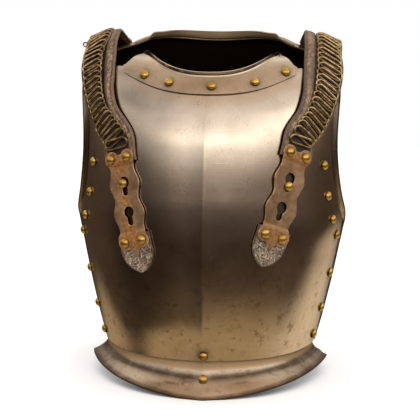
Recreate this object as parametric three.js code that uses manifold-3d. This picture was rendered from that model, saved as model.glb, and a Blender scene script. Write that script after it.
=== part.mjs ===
// A heavy cavalry cuirass: a steel breastplate and backplate joined over the shoulders by two
// leather straps faced with brass chain. Each strap ends in a keyhole plate that hooks over a stud.
// Millimetres, +Z up. The wearer faces -Y, so +X is the wearer's left. The floor is z = 0.
import * as THREE from 'three';
import { mergeVertices } from 'three/addons/utils/BufferGeometryUtils.js';
import Module from 'manifold-3d';

const wasm = await Module();
wasm.setup();

// Clearances
const seat_gap = 0.3; // between two pieces that touch
const path_step = 3; // length of steel between two samples of a path laid on it
const cut_overrun = 4; // how far a cutting tool runs past what it cuts
const sample_share = 0.002; // step used to read a surface's slope, as a share of its span
const edge_share = 0.004; // the same along a cut edge

// The whole body
const waist_height = 40; // floor to the waist seam
const armpit_height = 198;
const chest_half_width = 169; // steel at the armpits, without the turned edge
const chest_depth = 148; // side line to the ridge
const back_depth = 134; // side line to the shoulder blades

// Breastplate
const breast_wall = 2.8;
const breast_shoulder_height = 404;
const breast_neck_height = 380; // shell edge at the throat
const breast_shoulder_edge_height = 392; // shell edge under the straps
const neck_half_width = 84; // throat corner to the centre line
const neck_band_half_width = 106; // end of the neck band
const ridge_height = 3.2;
const ridge_half_width = 26;
const side_setback = 2; // breast edge in front of the side line
const armhole_scoop = 43; // how far the armhole cuts forward
const armhole_shoulder_setback = 24; // armhole edge in front of the side line, at the shoulder
const shoulder_half_width = 153; // armhole edge to the centre line, at the shoulder
const armhole_lip_radius = 7.5;
const side_lip_radius = 3;
const waist_lip_radius = 1.2;
const lip_sweep_deg = 66;
const armhole_low_power = 0.66; // how low the armhole is deepest
const armhole_round_power = 1.2;
const throat_power = 3; // how flat the throat is before it turns up to its corners
// Where along the rise one form gives way to the next, as shares of it
const shoulder_edge_shares = [0.78, 0.88]; // the cut edge leaves the armhole for the shoulder
const ridge_fade_shares = [0.62, 0.8];
const waist_lip_share = 0.1; // the waist's narrow lip has grown to the side's
const armpit_lip_shares = [-0.03, 0.04]; // from the armpit: the side's lip grows to the armhole's

// The breastplate's level sections from the waist to the shoulder. Height is a share of that rise,
// depth, width and centre (how far the oblong's middle lies behind the side line) of the chest's.
const breast_profile_shares = [
  { height: 0, depth: 0.851, width: 0.814, centre: 0.2, square: 2.15 },
  { height: 0.11, depth: 0.926, width: 0.867, centre: 0.2, square: 2.15 },
  { height: 0.22, depth: 0.973, width: 0.92, centre: 0.2, square: 2.15 },
  { height: 0.33, depth: 0.997, width: 0.967, centre: 0.2, square: 2.15 },
  { height: 0.434, depth: 1, width: 1.006, centre: 0.2, square: 2.15 },
  { height: 0.55, depth: 0.986, width: 0.998, centre: 0.2, square: 2.15 },
  { height: 0.714, depth: 0.926, width: 1.011, centre: 0.2, square: 2.1 },
  { height: 0.824, depth: 0.838, width: 1.047, centre: 0.17, square: 1.95 },
  { height: 0.885, depth: 0.757, width: 1.071, centre: 0.12, square: 1.8 },
  { height: 0.934, depth: 0.655, width: 1.083, centre: 0.07, square: 1.65 },
  { height: 0.967, depth: 0.554, width: 1.071, centre: 0.03, square: 1.65 },
  { height: 0.989, depth: 0.419, width: 1.065, centre: 0.01, square: 1.65 },
  { height: 1, depth: 0.21, width: 1.065, centre: 0, square: 1.7 },
];

// Backplate, in the same shares of its own rise and depth and of the chest's width
const back_wall = 1.6;
const back_shoulder_height = 424;
const back_neck_height = 420.5;
const back_tuck = 7; // how far the side runs inside the breastplate
const tuck_gap = 1.4; // left between the tucked side and the breastplate's edge
const back_armhole_scoop = 36;
const back_armhole_shoulder_setback = 14;
const back_shoulder_half_width = 150;
const back_lip_radius = 3;
const back_shoulder_slope = 0.3; // fall of the shoulders per length outwards
const back_slope_shares = [0.75, 0.88]; // of the rise, where that fall sets in
const back_turn_share = 1.18; // of the armpit's rise, where the armhole's edge is fully turned
const back_tuck_shares = [0.22, 0.45]; // of the armpit's rise, where the side begins to tuck in
const back_below_crest_share = 0.9; // of the profile, all of it still rising
const back_corner_share = 0.6; // throat corner, on the way from the crest to the front edge
const back_band_reach_share = 1.22; // end of the neck band, of the throat corner's
const back_throat_power = 2.4;
const back_profile_shares = [
  { height: 0, depth: 0.72, width: 0.776, square: 2.2 },
  { height: 0.104, depth: 0.77, width: 0.829, square: 2.2 },
  { height: 0.208, depth: 0.84, width: 0.883, square: 2.2 },
  { height: 0.312, depth: 0.905, width: 0.93, square: 2.2 },
  { height: 0.411, depth: 0.945, width: 0.969, square: 2.2 },
  { height: 0.573, depth: 0.995, width: 0.94, square: 2.2 },
  { height: 0.729, depth: 1, width: 0.932, square: 2.2 },
  { height: 0.833, depth: 0.955, width: 0.935, square: 2.1 },
  { height: 0.917, depth: 0.88, width: 0.945, square: 1.95 },
  { height: 0.969, depth: 0.8, width: 0.955, square: 1.85 },
  { height: 0.99, depth: 0.724, width: 0.96, square: 1.8 },
  { height: 1, depth: 0.58, width: 0.96, square: 1.8 },
  { height: 0.998, depth: 0.42, width: 0.955, square: 1.75 },
  { height: 0.992, depth: 0.224, width: 0.945, square: 1.7 },
];

// Neck bands: a strip riveted round the throat or nape, turned up into a collar
const neck_band_wall = 1.8;
const breast_band_width = 24; // shell edge to the seam, along the steel
const breast_band_end_width = 11;
const breast_collar_radius = 4;
const breast_collar_height = 2.5;
const back_band_width = 22;
const back_band_end_width = 14;
const back_collar_radius = 6;
const back_collar_height = 4;
const collar_sweep_deg = 62;
const collar_end_share = 0.14; // what is left of the collar at the band's ends
const collar_fade_share = 1.1; // of the throat corner's side, where only that is left
const seam_power = 2.6; // how late the seam turns up towards the band's ends

// Waist flanges
const flange_wall = 1.8;
const flange_overlap = 12; // hidden behind the shell
const breast_flange_flare = 34;
const breast_flange_corner_flare = 20;
const breast_flange_drop = 41;
const breast_flange_corner_drop = 20;
const back_flange_flare = 26;
const back_flange_corner_flare = 18;
const back_flange_drop = 41;
const back_flange_corner_drop = 22;
const flange_sweep_deg = 64;
const flange_corner_power = 1.25; // how late the flange narrows towards its corners

// Domed rivets and studs
const rivet_radius = 5.75;
const rivet_height = 4.8;
const stud_radius = 5.8;
const stud_height = 5;
const stud_neck_radius = 3.2;
const stud_head_gap = 0.7; // between the stud's head and the plate
const waist_rivet_edge_distance = 7;
const flange_rivet_height = 18;
const ray_start = 60; // how far off the steel a rivet's place is looked up from

// Rivets down each side: side is a share of the way from the ridge to the cut edge, height of the
// armpit's
const side_rivet_shares = [
  { side: 0.879, height: 0.273 },
  { side: 0.902, height: 0.444 },
  { side: 0.905, height: 0.674 },
  { side: 0.874, height: 0.925 },
  { side: 0.82, height: 1.04 },
  { side: 0.857, height: 1.194 },
  { side: 0.876, height: 1.389 },
];
const neck_rivet_shares = [-0.921, -0.54, 0.05, 0.652, 1.086]; // of the neck's half width
const neck_rivet_seam_distance = 11; // up from the neck band's seam

// Keyhole plates, measured up the plate from the middle of its upper round hole
const plate_wall = 1.8;
const plate_half_width = 19.3;
const plate_wave = 2.2;
const plate_wave_top = -2; // where the plate is widest
const keyhole_pitch = 36;
const keyhole_radius = 7;
const keyhole_slot_radius = 3.8;
const keyhole_slot_length = 12.4;
const plate_rivet_spacing = 23.4;
const plate_lobe_radius = 9.2;
const plate_top_rivet = 29.3;
const plate_bottom_rivet = -71;
const plate_notch = 33;
const plate_point = -89.5;
const plate_point_half_width = 2.6;
const plate_point_length = 7;
const plate_point_root_share = 1.5; // of the point's half width, where it leaves the lobes
const plate_point_bend_share = 0.55; // of the point's length, where it turns in
const plate_lobe_inner_deg = 150; // arcs of the lobes, from straight outwards
const plate_lobe_outer_deg = 35;
const plate_lobe_lower_deg = 115;
const plate_path_pitches = 4; // keyhole pitches laid out to each side of the stud
const plate_top_joggle = 19.5;
const plate_bottom_joggle = -58.5;
const plate_joggle_length = 4;
const plate_stand_off = 1.9; // steel to the middle of the plate
const left_plate_lean_deg = 20.5; // from upright, in the breastplate's surface
const right_plate_lean_deg = 15.5;
const right_plate_twist_deg = 4; // the loose plate lies a little off the curve of the chest
const stud_side = 96.4;
const stud_rise = 255;
const left_stud_travel = 9.4; // how far down its keyhole each stud sits
const right_stud_travel = 0.9;

// Leather
const strap_wall = 3;
const strap_lift = 1.6; // steel to leather
const strap_half_width = 25; // on the shoulder
const strap_end_half_width = 22.5; // at the plate
const strap_tip_half_width = 21.5;
const tongue_tip = -110;
const tongue_arch_share = 0.4; // where it starts to narrow, from the plate's point to its rivets
const tongue_end_share = 0.08; // of its half width, left at the tip
const tongue_round_power = 2.2;
const strap_joint_room = 1.6; // from the plate's lobes to where the strap flexes
const strap_crest_depth = 2; // behind the side line
const strap_crest_tilt_deg = 20;
const strap_anchor_half_width = 19;
const strap_widen_share = 0.5; // of the way to the crest, where it has its full width
const strap_narrow_share = 1.2; // of the way to the crest, where it narrows again
// Where the strap lies on the breastplate: out of the chest's half width, height of the shoulder's.
// turn is how far it faces forward rather than square to the steel, to clear the armhole's lip.
const strap_front_shares = [
  { out: 0.732, height: 0.82, turn: 0 },
  { out: 0.782, height: 0.878, turn: 0.1 },
  { out: 0.8, height: 0.931, turn: 0.35 },
  { out: 0.805, height: 0.962, turn: 0.45 },
];
const strap_lip_clearance = 6; // added to the lift, in the same share as the turn
// and on the backplate: out of the chest's half width, rise of the back's profile
const strap_back_shares = [
  { out: 0.745, rise: 0.82, turn: 0.45 },
  { out: 0.7, rise: 0.755, turn: 0.35 },
  { out: 0.655, rise: 0.69, turn: 0.2 },
];
// Where it hangs free over the shoulder: out of the chest's half width, back of the back's depth.
// Its height is a share of the breastplate's shoulder plus one of the backplate's. round is how
// far it already faces backwards.
const strap_free_shares = [
  { out: 0.817, back: -0.164, breast: 1.035, rear: 0, round: 0 },
  { out: 0.817, back: 0.015, breast: 0.5, rear: 0.529, round: 0 },
  { out: 0.803, back: 0.2, breast: 0, rear: 0.992, round: 0.1 },
  { out: 0.78, back: 0.373, breast: 0, rear: 0.97, round: 0.5 },
];

// Chain: long wire links laid across the strap
const link_half_length = 16.5;
const link_end_radius = 5.4;
const link_wire_radius = 0.95;
const link_pitch = 7.6;
const link_tilt_deg = 7;
const chain_front_gap = 1.2; // between leather and chain
const chain_rear_gap = 2.4;
const chain_shoulder_offset = 6.5; // towards the arm, from the strap's centre line
const chain_plate_offset = 1.5;
const chain_shift_share = 0.7; // of the way to the crest, where the whole offset is reached

// Anchor plates at the back ends of the straps
const anchor_length = 24;
const anchor_half_width = 17;
const anchor_wall = 1.5;
const anchor_gap = 0.9; // between leather and plate
const anchor_rivet_spacing = 18;

// Counts of facets
const shell_columns = 24;
const stretch_columns = 2; // at least, between two marks
const path_samples = 40; // between two knots of a strap
const shell_rows = 12;
const band_rows = 2;
const back_columns = 18;
const back_rows = 10;
const lip_steps = 3;
const collar_steps = 3;
const flange_steps = 4;
const dome_sides = 8;
const dome_rings = 3;
const ribbon_columns = 2;
const ribbon_step = 10; // length of strap per facet
const link_end_steps = 3;
const wire_sides = 3;
const lobe_steps = 6;
const wave_steps = 12;
const hole_steps = 8;
const slot_end_steps = 4;

const steel = { color: 0x8f8478, roughness: 0.32, metalness: 1 };
const dark_steel = { color: 0x6d5a4a, roughness: 0.4, metalness: 1 };
const plate_steel = { color: 0x9a7d5e, roughness: 0.5, metalness: 0.9 };
const brass = { color: 0xc9993d, roughness: 0.28, metalness: 1 };
const old_brass = { color: 0x8d7448, roughness: 0.45, metalness: 1 };
const leather = { color: 0x5c4a3a, roughness: 0.75, metalness: 0 };

const group = new THREE.Group();

function addPiece(name, geometry, finish) {
  geometry.computeVertexNormals();
  const mesh = new THREE.Mesh(geometry, new THREE.MeshStandardMaterial(finish));
  mesh.name = name;
  group.add(mesh);
  return mesh;
}

// Small maths
const radians = THREE.MathUtils.degToRad;
const lerp = THREE.MathUtils.lerp;
const clamp = THREE.MathUtils.clamp;
const blendBetween = THREE.MathUtils.smoothstep;
const up = new THREE.Vector3(0, 0, 1);
const forward = new THREE.Vector3(0, -1, 0);

function move(point, ...steps) {
  const moved = point.clone();
  for (const [direction, distance] of steps) moved.addScaledVector(direction, distance);
  return moved;
}

// the value between 0 and 1 at which a rising function reaches a target
function solveShare(valueAt, target) {
  let low = 0;
  let high = 1;
  for (let i = 0; i < 40; i += 1) {
    const middle = (low + high) / 2;
    if (valueAt(middle) < target) low = middle;
    else high = middle;
  }
  return (low + high) / 2;
}

// how far to go from a start, in steps, until a curve has run a given length
function walkLength(pointAt, start, step, length) {
  let place = start;
  let run = 0;
  let stride = 0;
  while (run < length) {
    stride = pointAt(place).distanceTo(pointAt(place + step));
    place += step;
    run += stride;
  }
  return place - (step * (run - length)) / Math.max(stride, Number.EPSILON);
}

// A smooth curve through rows of named numbers, run by the distance between their depths and heights
function curveThrough(rows) {
  const keys = Object.keys(rows[0]);
  const runs = [0];
  for (let i = 1; i < rows.length; i += 1) {
    const rise = rows[i].height - rows[i - 1].height;
    const reach = rows[i].depth - rows[i - 1].depth;
    runs.push(runs[i - 1] + Math.hypot(rise, reach));
  }
  const total = runs[runs.length - 1];
  const slope = (i, key) => {
    const a = Math.max(i - 1, 0);
    const b = Math.min(i + 1, rows.length - 1);
    return (rows[b][key] - rows[a][key]) / (runs[b] - runs[a]);
  };
  return (share) => {
    const run = clamp(share, 0, 1) * total;
    let i = 0;
    while (i < rows.length - 2 && run > runs[i + 1]) i += 1;
    const span = runs[i + 1] - runs[i];
    const t = (run - runs[i]) / span;
    const row = {};
    for (const key of keys) {
      row[key] =
        (2 * t ** 3 - 3 * t ** 2 + 1) * rows[i][key] +
        (t ** 3 - 2 * t ** 2 + t) * slope(i, key) * span +
        (3 * t ** 2 - 2 * t ** 3) * rows[i + 1][key] +
        (t ** 3 - t ** 2) * slope(i + 1, key) * span;
    }
    return row;
  };
}

// One half of the body: level sections that are parts of rounded oblongs, stacked along a profile.
// side runs from -1 to 1 between the two cut edges, rise from 0 at the waist to 1 at the shoulder.
class BodyShell {
  constructor({ section, facing, edgeDepth, shoulderHalfWidth, shape }) {
    this.section = section;
    this.facing = facing;
    this.edgeDepth = edgeDepth;
    this.shoulderHalfWidth = shoulderHalfWidth;
    this.shape = shape;
    const count = 400;
    this.crest = 1;
    for (let i = count; i > 0; i -= 1) {
      if (section(i / count).height > section(this.crest).height) this.crest = i / count;
    }
  }

  // the angle round the section at the cut edge, which runs at one width over the shoulder
  edgeAngle(rise) {
    const { depth, width, centre, square } = this.section(rise);
    const share = (this.edgeDepth(rise) + centre) / (depth + centre);
    const armhole = Math.acos(clamp(share, 0, 1) ** (square / 2));
    const shoulder = Math.asin(Math.min(this.shoulderHalfWidth / width, 1) ** (square / 2));
    return lerp(armhole, shoulder, blendBetween(rise, ...shoulder_edge_shares));
  }

  point(side, rise) {
    const { height, depth, width, centre, square } = this.section(rise);
    const angle = Math.abs(side) * this.edgeAngle(rise);
    const x = Math.sign(side) * width * Math.sin(angle) ** (2 / square);
    const y = (depth + centre) * Math.cos(angle) ** (2 / square) - centre;
    const change = this.shape(Math.abs(x), rise);
    return new THREE.Vector3(x, this.facing * (y + change.out), height + change.rise);
  }

  normal(side, rise) {
    const step = sample_share;
    const across = this.point(Math.min(side + step, 1), rise);
    across.sub(this.point(Math.max(side - step, -1), rise));
    const along = this.point(side, Math.min(rise + step, 1));
    along.sub(this.point(side, Math.max(rise - step, 0)));
    return across.cross(along).multiplyScalar(-this.facing).normalize();
  }

  riseAt(height) {
    return this.crest * solveShare((share) => this.section(share * this.crest).height, height);
  }

  sideAt(x, rise) {
    const { width, square } = this.section(rise);
    const angle = Math.asin(Math.min(Math.abs(x) / width, 1) ** (square / 2));
    return (Math.sign(x) * angle) / this.edgeAngle(rise);
  }

  at(x, height) {
    const rise = this.riseAt(height);
    const side = this.sideAt(x, rise);
    return { point: this.point(side, rise), normal: this.normal(side, rise), side, rise };
  }

  // the rise that lies a given length of steel below another
  riseBelow(side, rise, length) {
    return walkLength((place) => this.point(side, place), rise, -sample_share, length);
  }
}

// how far from the side line the armhole's edge lies, for a share of the way from armpit to shoulder
function armholeEdge(share, setback, scoop, shoulder) {
  const way = clamp(share, 0, 1);
  const curve = Math.sin(Math.PI * way ** armhole_low_power) ** armhole_round_power;
  return lerp(setback, shoulder, way) + scoop * curve;
}

const breastSection = curveThrough(
  breast_profile_shares.map((row) => ({
    height: lerp(waist_height, breast_shoulder_height, row.height),
    depth: row.depth * chest_depth,
    width: row.width * chest_half_width,
    centre: row.centre * chest_depth,
    square: row.square,
  })),
);
const breast_armpit = solveShare((share) => breastSection(share).height, armpit_height);
const breast = new BodyShell({
  section: breastSection,
  facing: -1,
  edgeDepth: (rise) =>
    armholeEdge(
      (rise - breast_armpit) / (1 - breast_armpit),
      side_setback,
      armhole_scoop,
      armhole_shoulder_setback,
    ),
  shoulderHalfWidth: shoulder_half_width,
  shape: (x, rise) => {
    const fade = 1 - blendBetween(rise, ...ridge_fade_shares);
    return { out: ridge_height * fade * Math.max(0, 1 - x / ridge_half_width) ** 2, rise: 0 };
  },
});

const backSection = curveThrough(
  back_profile_shares.map((row) => ({
    height: lerp(waist_height, back_shoulder_height, row.height),
    depth: row.depth * back_depth,
    width: row.width * chest_half_width,
    centre: 0,
    square: row.square,
  })),
);
const back_armpit =
  back_below_crest_share *
  solveShare((share) => backSection(share * back_below_crest_share).height, armpit_height);
const back = new BodyShell({
  section: backSection,
  facing: 1,
  edgeDepth: (rise) =>
    armholeEdge(
      (rise - back_armpit) / (1 - back_armpit),
      0,
      back_armhole_scoop,
      back_armhole_shoulder_setback,
    ),
  shoulderHalfWidth: back_shoulder_half_width,
  shape: (x, rise) => {
    const fade = blendBetween(rise, ...back_slope_shares);
    return { out: 0, rise: -fade * back_shoulder_slope * Math.max(0, x - neck_half_width) };
  },
});

// A closed wall between two grids of points. Rows run upwards, columns left to right seen from outer.
function wallBetween(outer, inner) {
  const rows = outer.length;
  const columns = outer[0].length;
  const positions = [];
  for (const grid of [outer, inner]) {
    for (const row of grid) {
      for (const point of row) positions.push(point.x, point.y, point.z);
    }
  }
  const outside = (i, j) => i * columns + j;
  const inside = (i, j) => rows * columns + i * columns + j;
  const faces = [];
  const quad = (a, b, c, d) => faces.push(a, b, c, a, c, d);
  const last = columns - 1;
  const top = rows - 1;
  for (let i = 0; i < top; i += 1) {
    for (let j = 0; j < last; j += 1) {
      quad(outside(i, j), outside(i, j + 1), outside(i + 1, j + 1), outside(i + 1, j));
      faces.push(inside(i, j), inside(i + 1, j + 1), inside(i, j + 1));
      faces.push(inside(i, j), inside(i + 1, j), inside(i + 1, j + 1));
    }
    quad(outside(i, 0), outside(i + 1, 0), inside(i + 1, 0), inside(i, 0));
    quad(outside(i, last), inside(i, last), inside(i + 1, last), outside(i + 1, last));
  }
  for (let j = 0; j < last; j += 1) {
    quad(outside(0, j), inside(0, j), inside(0, j + 1), outside(0, j + 1));
    quad(outside(top, j), outside(top, j + 1), inside(top, j + 1), inside(top, j));
  }
  const geometry = new THREE.BufferGeometry();
  geometry.setAttribute('position', new THREE.Float32BufferAttribute(positions, 3));
  geometry.setIndex(faces);
  return geometry;
}

function gridNormals(grid) {
  return grid.map((row, i) =>
    row.map((point, j) => {
      const left = row[Math.max(j - 1, 0)];
      const right = row[Math.min(j + 1, row.length - 1)];
      const below = grid[Math.max(i - 1, 0)][j];
      const above = grid[Math.min(i + 1, grid.length - 1)][j];
      const across = right.clone().sub(left);
      return across.cross(above.clone().sub(below)).normalize();
    }),
  );
}

function offsetGrid(grid, distance) {
  const normals = gridNormals(grid);
  return grid.map((row, i) => row.map((point, j) => move(point, [normals[i][j], distance])));
}

// columns that run left to right as the wearer's body is seen, turned round for the back
function asSeen(shell, grid) {
  return shell.facing < 0 ? grid : grid.map((row) => [...row].reverse());
}

// Booleans
function solidOf(geometry) {
  const bare = new THREE.BufferGeometry();
  bare.setAttribute('position', geometry.getAttribute('position').clone());
  if (geometry.index) bare.setIndex(geometry.index.clone());
  const merged = mergeVertices(bare);
  return new wasm.Manifold(
    new wasm.Mesh({
      numProp: 3,
      vertProperties: new Float32Array(merged.getAttribute('position').array),
      triVerts: new Uint32Array(merged.index.array),
    }),
  );
}

function geometryOf(solid) {
  const mesh = solid.getMesh();
  const geometry = new THREE.BufferGeometry();
  geometry.setAttribute('position', new THREE.Float32BufferAttribute(mesh.vertProperties, 3));
  geometry.setIndex(new THREE.BufferAttribute(new Uint32Array(mesh.triVerts), 1));
  return geometry;
}

// Columns from side to side: each stretch between two named sides is cut into even steps
function columnsThrough(count, marks) {
  const stops = [0, ...marks, 1];
  const half = [0];
  for (let i = 1; i < stops.length; i += 1) {
    const steps = Math.max(stretch_columns, Math.round(((stops[i] - stops[i - 1]) * count) / 2));
    for (let j = 1; j <= steps; j += 1) half.push(lerp(stops[i - 1], stops[i], j / steps));
  }
  return [...half.slice(1).reverse().map((side) => -side), ...half];
}

// the sheet beyond a cut edge, turned outwards: side is -1 or 1
function turnedEdge(shell, side, rise, radius) {
  const edge = shell.point(side, rise);
  const outward = edge.clone().sub(shell.point(side * (1 - sample_share), rise)).normalize();
  const normal = shell.normal(side * (1 - sample_share), rise);
  const points = [];
  for (let i = 1; i <= lip_steps; i += 1) {
    const angle = (radians(lip_sweep_deg) * i) / lip_steps;
    points.push(
      move(edge, [outward, radius * Math.sin(angle)], [normal, radius * (1 - Math.cos(angle))]),
    );
  }
  return points;
}

// One half's rows of steel, from the waist to the seam of the neck band and on to the cut edge
function shellGrid(shell, { sides, rows, armpit, top, seam, beyond }) {
  const armpit_row = Math.round(rows * armpit);
  const shares = [];
  for (let i = 0; i <= armpit_row; i += 1) shares.push((armpit * i) / armpit_row);
  for (let i = armpit_row + 1; i <= rows; i += 1) {
    shares.push(lerp(armpit, 1, (i - armpit_row) / (rows - armpit_row)));
  }
  const riseOf = (side, i) => {
    if (i <= rows) return shares[i] * seam(side);
    return lerp(seam(side), top(side), (i - rows) / band_rows);
  };
  const grid = [];
  for (let i = 0; i <= rows + band_rows; i += 1) {
    const left = beyond(-1, riseOf(-1, i)).reverse();
    const right = beyond(1, riseOf(1, i));
    grid.push([...left, ...sides.map((side) => shell.point(side, riseOf(side, i))), ...right]);
  }
  return grid;
}

// A band laid on the top rows of a shell's grid, with its inner edge turned up into a collar
function neckBand(shell, grid, columns, { rises, reachSide, neckSide, radius, height }) {
  const sides = columns.filter((side) => Math.abs(side) <= reachSide + sample_share);
  const first = lip_steps + columns.indexOf(sides[0]);
  const count = sides.length;
  const normals = gridNormals(asSeen(shell, grid));
  const seen = asSeen(shell, grid);
  const start = shell.facing < 0 ? first : seen[0].length - first - count;
  const skin = [];
  for (let i = seen.length - 1 - band_rows; i < seen.length; i += 1) {
    const row = seen[i].slice(start, start + count);
    const lifts = normals[i].slice(start, start + count);
    skin.push(row.map((point, j) => move(point, [lifts[j], seat_gap])));
  }
  const turned = sides.map((side, j) => {
    const rise = rises(side);
    const normal = shell.normal(side, rise - sample_share);
    const edge = shell.point(side + edge_share, rises(side + edge_share));
    edge.sub(shell.point(side - edge_share, rises(side - edge_share)));
    const inward = normal.clone().cross(edge).multiplyScalar(-shell.facing).normalize();
    const fade = blendBetween(Math.abs(side), neckSide, neckSide * collar_fade_share);
    const size = lerp(1, collar_end_share, fade);
    const index = shell.facing < 0 ? j : sides.length - 1 - j;
    const base = skin[skin.length - 1][index];
    const sweep = radians(collar_sweep_deg);
    const points = [];
    for (let i = 1; i <= collar_steps; i += 1) {
      const angle = (sweep * i) / collar_steps;
      const reach = size * (radius + neck_band_wall);
      const out = reach * (1 - Math.cos(angle));
      points.push(move(base, [inward, reach * Math.sin(angle)], [normal, out]));
    }
    const bend = points[points.length - 1];
    const run = size * height;
    points.push(move(bend, [inward, run * Math.cos(sweep)], [normal, run * Math.sin(sweep)]));
    return points;
  });
  if (shell.facing > 0) turned.reverse();
  for (let i = 0; i <= collar_steps; i += 1) skin.push(turned.map((points) => points[i]));
  return wallBetween(offsetGrid(skin, neck_band_wall), skin);
}

// A waist flange: a strip behind the shell's lower edge that flares out below it
function waistFlange(shell, wall, grid, { first, count, flare, cornerFlare, drop, cornerDrop }) {
  const seen = asSeen(shell, grid);
  const normals = gridNormals(seen);
  const behind = wall + seat_gap;
  const rows = [];
  for (let k = 0; k <= flange_steps + 1; k += 1) rows.push([]);
  for (let j = first; j < first + count; j += 1) {
    const edge = move(seen[0][j], [normals[0][j], -behind]);
    const above = move(seen[1][j], [normals[1][j], -behind]);
    const along = above.clone().sub(edge).normalize();
    rows[flange_steps + 1].push(move(edge, [along, flange_overlap]));
    rows[flange_steps].push(edge);
    const level = normals[0][j].clone().setZ(0).normalize();
    const turn = Math.abs(-1 + (2 * (j - first)) / (count - 1));
    const swing = Math.sin((turn * Math.PI) / 2) ** flange_corner_power;
    const reach = lerp(flare, cornerFlare, swing);
    const fall = lerp(drop, cornerDrop, swing);
    const sweep = radians(flange_sweep_deg);
    for (let k = 1; k <= flange_steps; k += 1) {
      const angle = (sweep * k) / flange_steps;
      const out = (reach * (1 - Math.cos(angle))) / (1 - Math.cos(sweep));
      const down = (fall * Math.sin(angle)) / Math.sin(sweep);
      rows[flange_steps - k].push(move(edge, [level, out], [up, -down]));
    }
  }
  const wallGeometry = wallBetween(rows, offsetGrid(rows, -flange_wall));
  // flattened where the cuirass stands
  const floor_size = 4 * chest_half_width;
  const floor = new THREE.BoxGeometry(floor_size, floor_size, floor_size);
  floor.translate(0, 0, -floor_size / 2);
  return geometryOf(solidOf(wallGeometry).subtract(solidOf(floor)));
}

// Breastplate
const breast_neck_side = breast.sideAt(neck_half_width, 1);
const breast_neck_rise = breast.riseAt(breast_neck_height);
const breast_shoulder_rise = breast.riseAt(breast_shoulder_edge_height);
const breast_band_side = breast.sideAt(neck_band_half_width, breast_shoulder_rise);

function breastTop(side) {
  const across = Math.abs(side);
  if (across < breast_neck_side) {
    return lerp(breast_neck_rise, 1, 1 - Math.sqrt(1 - (across / breast_neck_side) ** throat_power));
  }
  return lerp(1, breast_shoulder_rise, blendBetween(across, breast_neck_side, breast_band_side));
}

const breast_seam_low = breast.riseBelow(0, breast_neck_rise, breast_band_width);
const breast_seam_end = breast.riseBelow(
  breast_band_side,
  breast_shoulder_rise,
  breast_band_end_width,
);

function breastSeam(side) {
  const across = Math.min(Math.abs(side) / breast_band_side, 1);
  return lerp(breast_seam_low, breast_seam_end, across ** seam_power);
}

function breastLip(side, rise) {
  const low = lerp(waist_lip_radius, side_lip_radius, blendBetween(rise, 0, waist_lip_share));
  const [start, end] = armpit_lip_shares;
  const above = blendBetween(rise, breast_armpit + start, breast_armpit + end);
  return turnedEdge(breast, side, rise, lerp(low, armhole_lip_radius, above));
}

const breast_sides = columnsThrough(shell_columns, [breast_neck_side, breast_band_side]);
const breast_grid = shellGrid(breast, {
  sides: breast_sides,
  rows: shell_rows,
  armpit: breast_armpit / breastSeam(1),
  top: breastTop,
  seam: breastSeam,
  beyond: breastLip,
});
const breast_shell_mesh = addPiece(
  'breast_shell',
  wallBetween(breast_grid, offsetGrid(breast_grid, -breast_wall)),
  steel,
);
const breast_band_mesh = addPiece(
  'breast_neck_band',
  neckBand(breast, breast_grid, breast_sides, {
    rises: breastTop,
    reachSide: breast_band_side,
    neckSide: breast_neck_side,
    radius: breast_collar_radius,
    height: breast_collar_height,
  }),
  steel,
);
const breast_flange_mesh = addPiece(
  'breast_waist_flange',
  waistFlange(breast, breast_wall, breast_grid, {
    first: lip_steps,
    count: breast_sides.length,
    flare: breast_flange_flare,
    cornerFlare: breast_flange_corner_flare,
    drop: breast_flange_drop,
    cornerDrop: breast_flange_corner_drop,
  }),
  steel,
);

// Backplate
const back_neck_rise = back.riseAt(back_neck_height);
const back_corner_rise = lerp(back.crest, 1, back_corner_share);
const back_neck_side = back.sideAt(neck_half_width, back_corner_rise);
const back_band_side = back_neck_side * back_band_reach_share;

function backTop(side) {
  const across = Math.abs(side);
  if (across < back_neck_side) {
    return lerp(back_neck_rise, back_corner_rise, (across / back_neck_side) ** back_throat_power);
  }
  return lerp(back_corner_rise, 1, blendBetween(across, back_neck_side, back_band_side));
}

const back_seam_low = back.riseBelow(0, back_neck_rise, back_band_width);
const back_seam_end = back.riseBelow(back_band_side, 1, back_band_end_width);

function backSeam(side) {
  const across = Math.min(Math.abs(side) / back_band_side, 1);
  return lerp(back_seam_low, back_seam_end, across ** seam_power);
}

function backSide(side, rise) {
  const above = blendBetween(rise, back_armpit, back_armpit * back_turn_share);
  const low = blendBetween(rise, ...back_tuck_shares.map((share) => share * back_armpit));
  const edge = back.point(side, rise);
  const lip = turnedEdge(back, side, rise, back_lip_radius);
  return lip.map((point, i) => {
    const reach = (lerp(seat_gap, back_tuck, low) * (i + 1)) / lip_steps;
    const tucked = move(edge, [forward, reach]);
    const outside = Math.abs(breast.point(side, breast.riseAt(tucked.z)).x);
    tucked.x = side * Math.min(Math.abs(tucked.x), outside - breast_wall - tuck_gap);
    return tucked.lerp(point, above);
  });
}

const back_sides = columnsThrough(back_columns, [back_neck_side, back_band_side]);
const back_grid = shellGrid(back, {
  sides: back_sides,
  rows: back_rows,
  armpit: back_armpit / backSeam(1),
  top: backTop,
  seam: backSeam,
  beyond: backSide,
});
const back_seen = asSeen(back, back_grid);
addPiece('back_shell', wallBetween(back_seen, offsetGrid(back_seen, -back_wall)), dark_steel);
addPiece(
  'back_neck_band',
  neckBand(back, back_grid, back_sides, {
    rises: backTop,
    reachSide: back_band_side,
    neckSide: back_neck_side,
    radius: back_collar_radius,
    height: back_collar_height,
  }),
  dark_steel,
);
addPiece(
  'back_waist_flange',
  waistFlange(back, back_wall, back_grid, {
    first: lip_steps,
    count: back_sides.length,
    flare: back_flange_flare,
    cornerFlare: back_flange_corner_flare,
    drop: back_flange_drop,
    cornerDrop: back_flange_corner_drop,
  }),
  dark_steel,
);

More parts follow.
